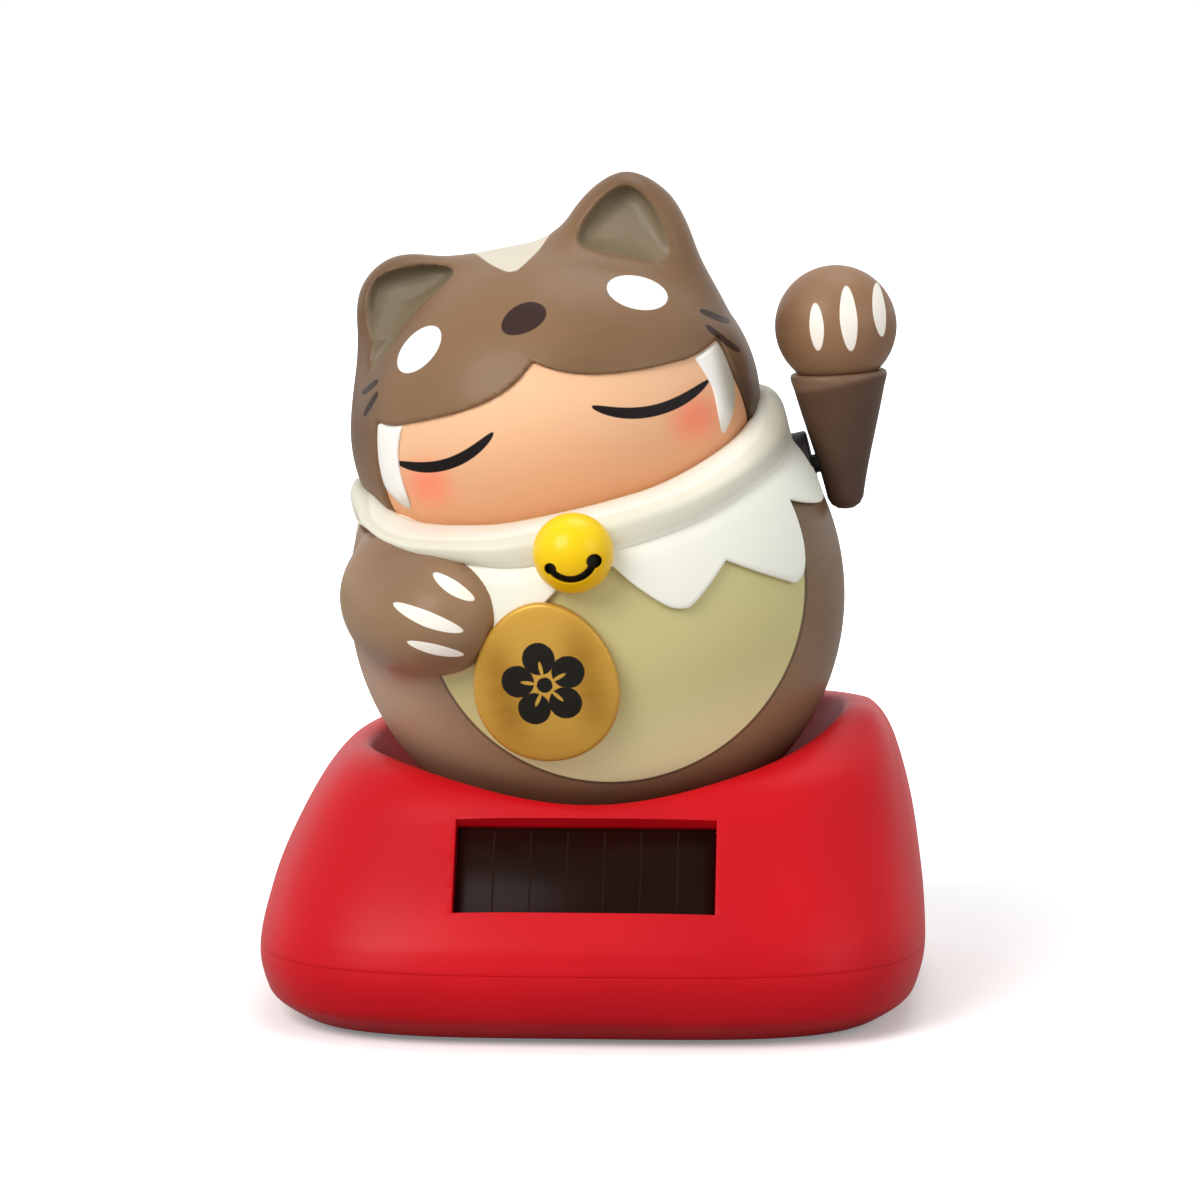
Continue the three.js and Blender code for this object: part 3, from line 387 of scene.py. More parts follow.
def smoothLoop(points, count):
    points = np.array(points, float)
    places = np.arange(count) * len(points) / count
    return alongCurve(np.concatenate([points[-1:], points, points[:2]]), places)


def smoothRun(points, count):
    points = np.array(points, float)
    points = np.concatenate([[2 * points[0] - points[1]], points, [2 * points[-1] - points[-2]]])
    return alongCurve(points, np.linspace(0, len(points) - 3, count, endpoint=False))


# Base

base = {
    "halfWidth": 44, "halfDepth": 41.3, "shoulder": 40.4, "seam": 9.7, "foot": 0.5,
    # for each side, pairs of a share of the shoulder's height and the reach there
    "right": [(0, 0.86), (0.1, 0.975), (0.223, 1), (0.495, 0.977), (0.792, 0.918), (0.946, 0.841),
              (1, 0.698)],
    "left": [(0, 0.86), (0.1, 0.975), (0.21, 1), (0.4, 0.966), (0.594, 0.895), (0.792, 0.775), (0.874, 0.634),
             (1, 0.2)],
    "front": [(0, 0.87), (0.1, 0.985), (0.2, 1), (0.3, 0.983), (0.384, 0.942), (0.666, 0.734), (0.792, 0.634),
              (1, 0.2)],
    "back": [(0, 0.87), (0.1, 0.985), (0.2, 1), (0.5, 0.97), (0.74, 0.88), (0.89, 0.75), (1, 0.2)],
    "squareBottom": 4, "squareTop": 3, "bowl": 36.2, "bowlFloor": 0.32, "wall": 2, "lip": 3.2, "steps": 240,
    "rimRound": 1.3, "footRound": (1.2, 0.7), "seamGroove": 0.045, "seamGap": 0.015,
    "cell": (33.2, 13.1), "cellSink": 2.2, "cellThick": 1.1, "cellHeight": 22.8, "cellEdge": 0.2,
    "recessPlay": 0.25, "recessDepth": 3.6,
    "red": (208, 12, 26), "deepRed": (196, 10, 24), "shadedRed": (150, 6, 18),
    "glass": (28, 12, 7), "warmGlass": (34, 13, 8), "line": (38, 19, 13),
}
sideShares = {side: curveThrough(base[side]) for side in ("right", "left", "front", "back")}
squareCorners = ((-1, -1), (1, -1), (1, 1), (-1, 1))


def baseReach(angle, height):  # distance of the base's outside from its axis
    share = height / base["shoulder"]
    power = base["squareBottom"] + (base["squareTop"] - base["squareBottom"]) * share
    across = np.where(np.cos(angle) > 0, sideShares["right"](share), sideShares["left"](share))
    along = np.where(np.sin(angle) > 0, sideShares["back"](share), sideShares["front"](share))
    return (np.abs(np.cos(angle) / (base["halfWidth"] * across)) ** power
            + np.abs(np.sin(angle) / (base["halfDepth"] * along)) ** power) ** (-1 / power)


def bowlReach(height):
    return np.sqrt(np.maximum(base["bowl"] ** 2 - (height - stance["pivotHeight"]) ** 2, 0))


def makeBaseShell():
    angles = ringAngles(base["steps"])
    heights = np.linspace(base["seam"], base["shoulder"], 1200)[:, None] * np.ones(base["steps"])
    meets = np.argmax(baseReach(angles, heights) < bowlReach(heights), axis=0)
    rimHeight = heights[meets, 0]  # where the outside meets the bowl

    def outside(level):  # points of the outer wall at a share of the way up to the rim
        low = base["seam"] + base["seamGap"]
        height = low + (rimHeight - base["seam"] - base["seamGap"]) * level
        return np.stack([baseReach(angles, height), height])

    def bowl(level):  # the same down the bowl
        turn = np.arccos(np.clip((stance["pivotHeight"] - rimHeight) / base["bowl"], -1, 1)) * level
        return np.stack([base["bowl"] * np.sin(turn), stance["pivotHeight"] - base["bowl"] * np.cos(turn)])

    groove, rim = base["seamGroove"], base["rimRound"]
    steps = ((base["lip"], 0), (groove, 0), (groove * 0.3, -groove * 0.25))
    rows = [outside(0) - np.array([[inward], [down]]) for inward, down in steps]
    stop, start = 1 - rim / (rimHeight - base["seam"]), 1 - rim / bowlReach(rimHeight)
    rows += [outside(stop * level) for level in np.linspace(0.02, 1, 72)]
    before, corner, after = outside(stop), outside(1), bowl(start)
    for t in np.linspace(0.1, 0.9, 9):
        rows.append(before * (1 - t) ** 2 + corner * 2 * t * (1 - t) + after * t * t)
    rows += [bowl(level * start) for level in np.linspace(1, base["bowlFloor"], 34)]
    rows.append(bowl(base["bowlFloor"]) + np.array([[0], [-base["wall"]]]))
    return ringSolid("baseShell", rows, base["steps"], inWorld)


def makeBottomCover():
    low, high = base["foot"], base["seam"] - base["seamGap"]
    groove, (inward, rise) = base["seamGroove"], base["footRound"]

    def ring(height, inset=0):
        level = np.full(base["steps"], height)
        return baseReach(ringAngles(base["steps"]), level) - inset, level

    rows = [ring(low + rise * t ** 2, inward * (1 - t) ** 2) for t in (0, 0.25, 0.5, 0.75)]
    rows += [ring(height) for height in np.linspace(low + rise, high - groove * 0.25, 20)]
    top, level = ring(high)
    rows += [(top - groove * 0.3, level - groove * 0.04), (top - groove, level)]
    return ringSolid("bottomCover", rows, base["steps"], inWorld)


def frontDepth(height):  # how far the middle of the front stands out at a height
    return base["halfDepth"] * float(sideShares["front"](height / base["shoulder"]))


def onSlope(points):  # x, depth behind the front face, and height along its slope at the cell
    low, high = (base["cellHeight"] + side * base["cell"][1] / 3 for side in (-1, 1))
    lean = math.atan2(frontDepth(low) - frontDepth(high), high - low)
    x, depth, up = np.array(points, float).T
    return np.column_stack((x, -frontDepth(base["cellHeight"]) + depth * math.cos(lean) + up * math.sin(lean),
                            base["cellHeight"] - depth * math.sin(lean) + up * math.cos(lean)))


def slopeBlock(name, grow, near, deep, edge=0):  # a block on the slope, as much larger than the cell as grow
    wide, tall = base["cell"][0] / 2 + grow, base["cell"][1] / 2 + grow
    rings = [(wide - edge, tall - edge, near), (wide, tall, near + edge), (wide, tall, deep)]
    points = [(sx * w, d, sy * t) for w, t, d in rings for sx, sy in squareCorners]
    return makeObject(name, onSlope(points), turnedOver(prismFaces(3, 4)), inWorld)


def redFinish():
    paint = Finish("redPlastic", False)
    paint.colour = paint.mix(paint.ramp(paint.noise(0.05, 1), 0.3, 0.7), base["red"], base["deepRed"])
    # Painted shade: the red darkens towards the bottom of the base.
    paint.layer(base["shadedRed"], paint.ramp(paint.axes[2], 13, 0) * 0.6)
    return paint.surface(0.4, 0, (paint.noise(1.6, 3), 0.04, 0.25), 0.16)


baseShell = makeBaseShell()
carve(baseShell, slopeBlock("recessCutter", base["recessPlay"], -8, base["recessDepth"]), base["cellEdge"])
red = redFinish()
finished(sharpen(baseShell, 50), red, "base", "red_shell", "base_shell")
print("base made")


# What stands under the base and in its front. The sizes reach the node trees in metres.

feet = {"across": 60, "along": 48, "radius": 4, "height": 1.7, "chamfer": 0.4}
caseScrews = {"across": 66, "along": 28, "head": 2.2, "shank": 1.1, "rise": 1.4, "slot": 0.6, "low": 1.15,
              "length": 12}
screwWells = {"radius": 2.45, "low": -2, "high": 2.9, "steps": 32}
cellLines = {"count": 6, "pitch": base["cell"][0] / 7, "wide": 0.22, "deep": 0.06,
             "tall": base["cell"][1] - 1}


def grown(name, build, sizes, material):  # runs a Geometry Nodes tree once and keeps its mesh
    group = bpy.data.node_groups.new(name + "Nodes", "GeometryNodeTree")
    group.interface.new_socket("Geometry", in_out="OUTPUT", socket_type="NodeSocketGeometry")
    keys = {}
    for size, value in sizes.items():
        kind = "NodeSocketInt" if size == "count" else "NodeSocketFloat"
        keys[size] = group.interface.new_socket(size, in_out="INPUT", socket_type=kind).identifier
    tree = Tree(group)
    made = build(tree, {size: tree.add("NodeGroupInput", output=size) for size in sizes})
    made = tree.add("GeometryNodeRealizeInstances", None, {0: made})
    made = tree.add("GeometryNodeSetMaterial", None, {"Geometry": made, "Material": material})
    tree.add("NodeGroupOutput", None, {0: made})
    piece = linked(bpy.data.objects.new(name, bpy.data.meshes.new(name)))
    modifier = piece.modifiers.new("build", "NODES")
    modifier.node_group = group
    for size, value in sizes.items():
        modifier[keys[size]] = value if size == "count" else value / 1000
    settle(piece)
    return piece


def vector(tree, x=0, y=0, z=0):
    return tree.add("ShaderNodeCombineXYZ", None, {0: x, 1: y, 2: z})


def moved(tree, part, x=0, z=0):
    return tree.add("GeometryNodeTransform", None, {"Geometry": part, "Translation": vector(tree, x, 0, z)})


def block(tree, x, y, z):
    return tree.add("GeometryNodeMeshCube", None, {0: vector(tree, x, y, z)})


def disc(tree, sides, radius, depth):
    sizes = {"Vertices": sides, "Radius": radius, "Depth": depth}
    return tree.add("GeometryNodeMeshCylinder", None, sizes)


def cone(tree, sides, top, bottom, depth):
    sizes = {"Vertices": sides, "Radius Top": top, "Radius Bottom": bottom, "Depth": depth}
    return tree.add("GeometryNodeMeshCone", None, sizes)


def fourCorners(tree, parts, size):
    spots = tree.add("GeometryNodeMeshGrid", None, {0: size["across"], 1: size["along"], 2: 2, 3: 2})
    joined = tree.add("GeometryNodeJoinGeometry", None, {0: parts})
    return tree.add("GeometryNodeInstanceOnPoints", None, {"Points": spots, "Instance": joined})


def buildFeet(tree, size):
    low = cone(tree, 48, size["radius"], size["radius"] - size["chamfer"], size["chamfer"])
    high = disc(tree, 48, size["radius"], size["height"] - size["chamfer"])
    return fourCorners(tree, [low, moved(tree, high, z=(size["height"] + size["chamfer"]) / 2)], size)


def buildScrews(tree, size):
    head = moved(tree, cone(tree, 36, size["head"], size["head"] * 0.75, size["rise"]), z=size["low"])
    long, deep = size["head"] * 1.15, size["rise"] * 1.1
    cut = {"operation": "DIFFERENCE", "solver": "EXACT"}
    for x, y in ((long, size["slot"]), (size["slot"], long)):  # the two bars of the cross slot
        bar = moved(tree, block(tree, x, y, deep), z=size["low"])
        head = tree.add("GeometryNodeMeshBoolean", cut, {0: head, 1: bar})
    middle = size["low"] + size["rise"] + size["length"] / 2
    shank = moved(tree, disc(tree, 20, size["shank"], size["length"]), z=middle)
    return fourCorners(tree, [head, shank], size)


def buildCellLines(tree, size):
    spots = tree.add("GeometryNodeMeshLine", None, {
        "Count": size["count"], "Start Location": (0, 0, 0), "Offset": vector(tree, size["pitch"])})
    bar = block(tree, size["wide"], size["deep"], size["tall"])
    row = tree.add("GeometryNodeInstanceOnPoints", None, {"Points": spots, "Instance": bar})
    return moved(tree, row, x=(size["count"] - 1) * size["pitch"] / -2)


def makeWellCutter():  # four round wells for the case screws, open at the bottom
    rings, faces, steps = [], [], screwWells["steps"]
    turns = ringAngles(steps)
    circle = np.column_stack((np.cos(turns), np.sin(turns), 0 * turns)) * screwWells["radius"]
    for side, end in squareCorners:
        faces += prismFaces(2, steps, len(rings) * steps)
        middle = [side * caseScrews["across"] / 2, end * caseScrews["along"] / 2]
        rings += [circle + np.array([*middle, height]) for height in (screwWells["low"], screwWells["high"])]
    return makeObject("wellCutter", np.concatenate(rings), faces, inWorld)


def glassFinish():
    paint = Finish("cellGlass", False)
    paint.colour = paint.mix(paint.ramp(paint.noise(0.12, 2), 0.3, 0.7), base["glass"], base["warmGlass"])
    return paint.surface(0.3, 0, None, 0.05)


def makeCellLines():
    paint = Finish("cellLines", False)
    paint.colour = base["line"]
    material = paint.surface(0.5, 0, None, 0.05)
    lines = grown("cellLines", buildCellLines, cellLines, material)
    flat = np.array([corner.co[:] for corner in lines.data.vertices]) * 1000
    flat[:, 1] += base["cellSink"] - 0.02
    for corner, place in zip(lines.data.vertices, onSlope(flat) / 1000):
        corner.co = place
    finished(lines, material, "base", "cell_glass")


bottomCover = makeBottomCover()
carve(bottomCover, makeWellCutter())
finished(sharpen(bottomCover, 40), red, "base", "red_shell", "bottom_cover")
rubber = plainFinish("footRubber", (44, 44, 44), 0.85)
steel = plainFinish("zincSteel", (184, 186, 189), 0.32, 1, (168, 170, 174), 2)
finished(grown("rubberFeet", buildFeet, feet, rubber), rubber, "base", "foot_rubber",
         *[f"rubber_foot_{i}" for i in range(1, 5)])
finished(grown("caseScrews", buildScrews, caseScrews, steel), steel, "base", "steel",
         *[f"case_screw_{i}" for i in range(1, 5)])
solarCell = slopeBlock("solarCell", 0, base["cellSink"], base["cellSink"] + base["cellThick"], 0.2)
finished(solarCell, glassFinish(), "base", "cell_glass", "solar_cell")
makeCellLines()
print("cell, feet and screws made")


# Body with the held paw

body = {
    "radius": 33, "wall": 1.8, "slot": (12.5, 14.5), "neckRise": 16.8, "neckTilt": math.radians(6.3),
    "arm": [((-17.6, -27.3, 4.9), (8, 8.2, 7.2)), ((-20.6, -23, 5.6), (8.6, 9, 7.9)),
            ((-23, -16.5, 7), (8.8, 10, 9.2))],
    "armBlend": 3, "crease": 0.5, "shoulder": 3.5,  # how softly the arm meets the body, and more at the side
    "belly": ((4, 2.5), (24.5, 24.3)),
    "claws": [((-15.1, 9.0), (3.1, 0.8), -43), ((-19.1, 6.0), (4.8, 1.0), -32),
              ((-19.1, 1.9), (3.7, 0.75), -26)],
    "brown": (150, 119, 89), "deepBrown": (126, 98, 73), "cream": (206, 197, 139),
    "lowCream": (255, 250, 196), "rim": (72, 56, 40), "claw": (252, 246, 234), "right": (96, 72, 48),
    "lit": (190, 158, 132), "under": (36, 16, 8),
}


def bodyField(points):
    ball = np.linalg.norm(points, axis=1) - body["radius"]
    arm = ovalField(points, *body["arm"][0])
    for lump in body["arm"][1:]:
        arm = blended(arm, ovalField(points, *lump), body["armBlend"])
    back = np.clip((-19 - points[:, 0]) / 9, 0, 1)
    return blended(ball, arm, body["crease"] + body["shoulder"] * back * back * (3 - 2 * back))


def crowded(low, high, count, centre, spread, gain):  # places that crowd together round a centre
    fine = np.linspace(low, high, 4000)
    weight = 1 + gain * np.exp(-(((fine - centre) / spread) ** 2))
    total = np.concatenate([[0], np.cumsum((weight[1:] + weight[:-1]) / 2)])
    return np.interp(np.linspace(0, total[-1], count), total, fine)


def towards(down, bearing):  # a direction from its angle off the top and its angle round from the front
    return np.column_stack((np.sin(down) * np.sin(bearing), -np.sin(down) * np.cos(bearing), np.cos(down)))


def onNeck(points):  # height above the tilted neck joint
    tilt = body["neckTilt"]
    return -points[:, 1] * math.sin(tilt) + (points[:, 2] - body["neckRise"]) * math.cos(tilt)


def lastTrue(holds, start, end, columns, halvings):  # where what holds at the start stops, in each column
    start, end = np.full(columns, float(start)), np.full(columns, float(end))
    for halving in range(halvings):
        middle = (start + end) / 2
        held = holds(middle)
        start, end = np.where(held, middle, start), np.where(held, end, middle)
    return (start + end) / 2


def makeBody():
    columns, middle = 300, math.radians(-41)
    bearing = crowded(middle - math.pi, middle + math.pi, columns + 1, middle, 0.5, 2.2)[:-1]
    neck = lastTrue(lambda down: onNeck(towards(down, bearing) * body["radius"]) > 0, 0.3, 1.6, columns, 30)
    a, b = body["slot"]
    reach = (np.abs(np.sin(bearing) / a) ** 6 + np.abs(np.cos(bearing) / b) ** 6) ** (-1 / 6)
    slot = math.pi - np.arcsin(reach / body["radius"])
    rays = [towards(neck + (slot - neck) * t, bearing) for t in np.linspace(0, 1, 40)]
    rows = [ray * (body["radius"] - body["wall"]) for ray in rays]
    for t in crowded(0, 1, 120, 0.22, 0.14, 2.2)[::-1]:
        ray = towards(neck + (slot - neck) * t, bearing)
        reach = lastTrue(lambda at: bodyField(ray * at[:, None]) <= 0, 20, 46, columns, 26)
        rows.append(ray * reach[:, None])
    return sharpen(makeObject("bodyShell", *capped(np.concatenate(rows), columns)), 50)


def bodyFinish():
    paint = brownPaint("bodyPaint", body["brown"], body["deepBrown"])
    x, y, z = paint.axes
    (acrossAt, upAt), (wide, tall) = body["belly"]
    away = (lengthOf((x - acrossAt) / wide, (z - upAt) / tall) - 1) * wide
    out = (x * x + y * y + z * z).maths("SQRT")
    front = paint.ramp(y, -7, -8) * paint.ramp(out, body["radius"] + 0.6, body["radius"] + 0.25)
    # The belly's cream turns yellow towards the bottom, and is painted lighter there as painted light.
    cream = paint.mix(paint.ramp(z, -26, -8), body["lowCream"], body["cream"])
    # Painted shade darkens the right side, and painted light brightens a patch low on the left side.
    paint.layer(body["right"], paint.ramp(x, 8, 30) * 0.3)
    paint.layer(body["lit"], paint.ramp(x, -10, -28) * paint.ramp(z, 2, -4) * paint.ramp(z, -26, -14) * 0.6)
    paint.layer(body["rim"], paint.ramp(abs(away - 0.2), 0.3, 0.1) * front * 0.55)
    paint.layer(cream, paint.ramp(away, 0.08, -0.08) * front)
    for claw in body["claws"]:
        paint.layer(body["claw"], paint.spot(x, z, *claw, 0.06, 1.6) * paint.ramp(y, -20, -22))
    # Painted shadow: the bottom of the body darkens to near black where it sits in the bowl.
    paint.layer(body["under"], paint.ramp(z, -23, -33) * 0.85)
    return paint.surface(0.42, 0.04, seamBump(paint))


finished(makeBody(), bodyFinish(), "figure", "brown_shell", "body_front_shell", "body_rear_shell")
print("body made")


# Collar and cape

collar = {
    # pairs of degrees round from the front and height
    "hoodLine": [(-180, 20.6), (-110, 22), (-91, 22), (-70, 20.6), (-61.5, 18.3), (-49, 16.4), (-36, 15.4),
                 (-14, 14.4), (-1, 14.4), (24, 14.6), (58, 17.1), (74, 19.1), (91, 21.6), (110, 22),
                 (180, 20.6)],
    "lowLine": [(-180, 14.5), (-90, 17.6), (-61, 16.6), (-47, 14.2), (-38.6, 12.7), (-28.5, 11.6), (-10, 9.4),
                (12.2, 9.0), (27.3, 9.5), (47, 11.4), (70, 13.5), (91, 15), (180, 14.5)],
    "bulge": 1.3, "gap": 0.25, "thick": 0.7, "groove": 0.4, "grooveFade": 1.1, "lip": 0.16,
    "petals": [
        [(-34, 13), (-34.5, 5), (-31, 1.9), (-27, 0.1), (-24, -0.3), (-22, -0.2), (-18, 0.3), (-11.2, 2.5),
         (-7.1, 4.5), (-3.6, 6), (-1, 7.6)],
        [(-1, 7.6), (2, 7.2), (5.5, 7), (9.2, 7.1)],
        [(9.2, 7.1), (13.2, 3.9), (18.7, 0.6), (22.4, -0.35), (24.8, -0.1), (29.5, 1.7), (35.1, 4.1)],
        [(35.1, 4.1), (43, 1.3), (51.2, -1.1), (53.7, -1.6), (56.9, -0.7), (59.2, 2.4), (60.1, 6),
         (60.3, 8.7)],
        [(60.3, 8.7), (66.5, 7.5), (74.6, 6.6), (79.2, 7.1), (82.4, 10.1), (84, 12.5)],
        [(84, 12.5), (87, 13.3), (94, 13.3), (97, 12.5)],
    ],
    # start and end in degrees, then the heights of the start, the end and the tip
    "backPetals": [(97, 118, 12.5, 9.5, 7), (118, 148, 9.5, 6.5, -0.6), (148, 180, 6.5, 7, -0.8),
                   (180, 212, 7, 6.5, -0.8), (212, 240, 6.5, 8.5, -0.2), (240, 262, 8.5, 17, 6)],
    "bare": (262, 326, 18),  # no cape over the held arm's shoulder
    "white": (226, 223, 205), "cape": (243, 243, 230), "shadow": (140, 130, 112),
}
skull = {"across": 27.4, "along": 26.5, "up": 23.2, "middle": 24.5}  # the hood's ball, without its ears


def backPetal(start, end, startHeight, endHeight, tip):  # a rounded petal between two notches
    t = np.linspace(0, 1, 40, endpoint=False)
    hang = ((startHeight + endHeight) / 2 - tip) * (1 - np.abs(2 * t - 1) ** 1.6)
    return np.column_stack((start + (end - start) * t, startHeight + (endHeight - startHeight) * t - hang))


def capeOutline():
    start, end, height = collar["bare"]
    runs = [smoothRun(points, 44) for points in collar["petals"]]
    runs += [backPetal(*sizes) for sizes in collar["backPetals"]]
    runs.append(np.column_stack((np.linspace(start, end, 80, endpoint=False), np.full(80, float(height)))))
    line = np.concatenate(runs)
    line[:, 0] = np.maximum.accumulate(line[:, 0] + np.arange(len(line)) * 1e-5)
    return line[line[:, 0] < end]


def headReach(bearing, height):  # distance of the hood from its axis
    share = np.sqrt(np.maximum(1 - ((height - skull["middle"]) / skull["up"]) ** 2, 0))
    return share / np.sqrt((np.sin(bearing) / skull["across"]) ** 2 + (np.cos(bearing) / skull["along"]) ** 2)


def makeCollar():
    line = capeOutline()
    degrees = (line[:, 0] + 180) % 360 - 180
    bearing, thick, groove = np.radians(degrees), collar["thick"], collar["groove"]
    top, low = curveThrough(collar["hoodLine"])(degrees), curveThrough(collar["lowLine"])(degrees)
    edge = np.minimum(line[:, 1], low - 0.06)
    middle, half = (top + low) / 2, (top - low) / 2

    def cape(height, inside=0):
        reach = body["radius"] + collar["gap"] + thick - inside
        return np.sqrt(np.maximum(reach ** 2 - height ** 2, 0))

    outermost = cape(middle) + collar["bulge"]
    hug = headReach(bearing, top) + 0.5
    inner = cape(low) - groove
    rows = [(headReach(bearing, low + 1) - 1.5, low + 1.2), (headReach(bearing, top) - 1.2, top - 0.9),
            (headReach(bearing, top) - 0.2, top - 0.1)]
    for turn in np.radians(np.linspace(88, 0, 16)):
        rows.append((hug + (outermost - hug) * math.cos(turn) ** 0.85, middle + half * math.sin(turn)))
    for turn in np.radians(np.linspace(-7, -83, 13)):
        rows.append((inner + (outermost - inner) * math.cos(turn) ** 0.8, middle + half * math.sin(turn)))
    span = low - edge
    lip = np.minimum(collar["lip"], span / 3)
    for t in np.linspace(0, 1, 16):
        height = low - (span - lip) * t
        rows.append((cape(height) - groove * np.exp(-((low - height) / collar["grooveFade"]) ** 2), height))
    rows += [(cape(edge) - 0.14, edge), (cape(edge) - thick + 0.1, edge)]
    for t in np.linspace(0, 1, 8):
        height = edge + lip + (low - edge) * t
        rows.append((cape(height, thick), height))
    rings = [np.column_stack((r * np.sin(bearing), -r * np.cos(bearing), h)) for r, h in rows]
    points = np.concatenate(rings)
    faces = [[index % len(points) for index in face] for face in gridFaces(len(rows) + 1, len(bearing))]
    return sharpen(makeObject("collarCape", points, turnedOver(faces)), 55)


def collarFinish():
    paint = Finish("collarPaint")
    x, y, z = paint.axes
    out = (x * x + y * y + z * z).maths("SQRT")
    # Painted light: the cape is the roll's white, painted lighter than the roll.
    paint.colour = paint.mix(paint.ramp(out, 33.95, 34.5), collar["cape"], collar["white"])
    paint.layer(collar["shadow"], paint.ramp(x, 22, 31) * paint.ramp(z, 11, 16) * paint.ramp(y, 4, -12) * 0.6)
    return paint.surface(0.45, 0.03, (paint.noise(0.5, 3), 0.03, 0.3))


finished(makeCollar(), collarFinish(), "figure", "white_collar", "collar_cape")
print("collar made")


# Bell and coin

bell = {"centre": (0.9, -34.5, 10.1), "radius": 5.15, "smile": (-0.1, 0.3), "smileRadius": 3.11, "line": 0.47,
        "dots": [((-2.95, -0.89), 0.76), ((2.67, -1.14), 0.93)], "deep": 0.7, "round": 0.18,
        "yellow": (250, 209, 5), "lowYellow": (240, 187, 4), "ink": (16, 13, 3)}
coin = {"centre": (-6.5, -5.7), "half": (9.4, 10.6), "turn": math.radians(-7.7), "taper": 0.1, "under": 33.15,
        "thick": 2.1, "edge": 0.45, "petals": 5, "petalAt": 3.5, "petalSize": 2.15,
        "gold": (206, 158, 64), "deepGold": (172, 124, 38), "brushed": (236, 196, 104), "ink": (20, 16, 8)}


def smileAway(x, z):  # distance from the engraved line, seen from the front
    across, up = x - bell["centre"][0], z - bell["centre"][2]
    arc = np.hypot(across - bell["smile"][0], up - bell["smile"][1]) - bell["smileRadius"]
    arc = np.where(up < -1.0, np.abs(arc) - bell["line"], 9)
    for (dotX, dotZ), size in bell["dots"]:
        arc = np.minimum(arc, np.hypot(across - dotX, up - dotZ) - size)
    return arc


def bellField(points):
    ball = np.linalg.norm(points - np.array(bell["centre"]), axis=1) - bell["radius"]
    groove = np.maximum(smileAway(points[:, 0], points[:, 2]), -(ball + bell["deep"]))
    groove = np.where(points[:, 1] < bell["centre"][1], groove, 9)
    return trimmed(ball, groove, bell["round"])


def bellFinish():
    paint = Finish("bellPaint")
    x, y, z = paint.axes
    across, up = x - bell["centre"][0], z - bell["centre"][2]
    arc = abs(lengthOf(across - bell["smile"][0], up - bell["smile"][1]) - bell["smileRadius"]) - bell["line"]
    mask = paint.ramp(arc, 0.05, -0.05) * paint.ramp(up, -0.95, -1.1)
    for (dotX, dotZ), size in bell["dots"]:
        dot = lengthOf(across - dotX, up - dotZ) - size
        mask = mask.maths("MAXIMUM", paint.ramp(dot, 0.05, -0.05))
    mask = mask * paint.ramp(y, bell["centre"][1], bell["centre"][1] - 0.5)
    paint.colour = paint.mix(paint.ramp(up, -4, 3), bell["lowYellow"], bell["yellow"])
    paint.layer(bell["ink"], mask)
    return paint.surface(mask * 0.35 + 0.3, 0.1)


def makeCoin():
    turns = ringAngles(160)
    taper = 1 - coin["taper"] * np.sin(turns)
    flat = np.column_stack((coin["half"][0] * np.cos(turns) * taper, coin["half"][1] * np.sin(turns)))
    c, s = math.cos(coin["turn"]), math.sin(coin["turn"])
    flat = flat @ np.array([[c, s], [-s, c]])
    under, top, edge = coin["under"], coin["under"] + coin["thick"], coin["edge"]
    levels = [(scale, top) for scale in np.linspace(0.06, 0.9, 22)]
    for bend in np.linspace(0, 1, 6) * math.pi / 2:
        levels.append((1 - edge / 10 * (1 - math.sin(bend)), top - edge * (1 - math.cos(bend))))
    levels += [(1, under + 0.15), (0.985, under), (0.7, under), (0.35, under), (0.06, under)]
    rows = []
    for scale, reach in levels:
        x, z = (flat * scale + np.array(coin["centre"])).T
        rows.append(np.column_stack((x, -np.sqrt(reach ** 2 - x ** 2 - z ** 2), z)))
    points, faces = capped(np.concatenate(rows), len(turns))
    return sharpen(makeObject("luckyCoin", points, turnedOver(faces)), 60)


def coinFinish():
    paint = Finish("coinPaint")
    x, y, z = paint.axes
    across, up = x - coin["centre"][0], z - coin["centre"][1]
    rough = (paint.noise(1.5, 2) - 0.5) * 0.16
    ink = paint.ramp(lengthOf(across, up) + rough, 1.1, 0.95)
    for step in range(coin["petals"]):
        turn = math.radians(90 + 360 * step / coin["petals"])
        petalX, petalZ = coin["petalAt"] * math.cos(turn), coin["petalAt"] * math.sin(turn)
        away = lengthOf(across - petalX, up - petalZ) + rough
        ink = ink.maths("MAXIMUM", paint.ramp(away, coin["petalSize"] + 0.06, coin["petalSize"] - 0.1))
        stamen = paint.spot(across, up, (petalX * 0.62, petalZ * 0.62), (0.95, 0.24), math.degrees(turn), 0.3)
        ink = ink * (1 - stamen)
    ink = ink * paint.ramp(y, -19, -20)
    sheen = paint.ramp(abs((abs(across) - 5.5) / 4), 1.0, 0.0) * paint.ramp(abs(up / 9), 1.1, 0.3)
    paint.colour = paint.mix(sheen, coin["gold"], coin["deepGold"])
    brushed = paint.noise(0.7, 4, paint.stretched((0.1, 1, 2)))
    paint.layer(coin["brushed"], paint.ramp(brushed, 0.3, 0.7) * 0.06)
    paint.layer(coin["ink"], ink)
    return paint.surface(0.38, 0.05, (brushed, 0.03, 0.3), metallic=(1 - ink) * 0.25)


bellBox = [np.array(bell["centre"]) + side * 5.6 for side in (-1, 1)]
finished(surfaceOf("bell", bellField, *bellBox, 0.17)[0], bellFinish(), "figure", "yellow_bell", "bell")
finished(makeCoin(), coinFinish(), "figure", "gold_coin", "lucky_coin")
print("bell and coin made")


# Head: hood with its ears, face and tusks

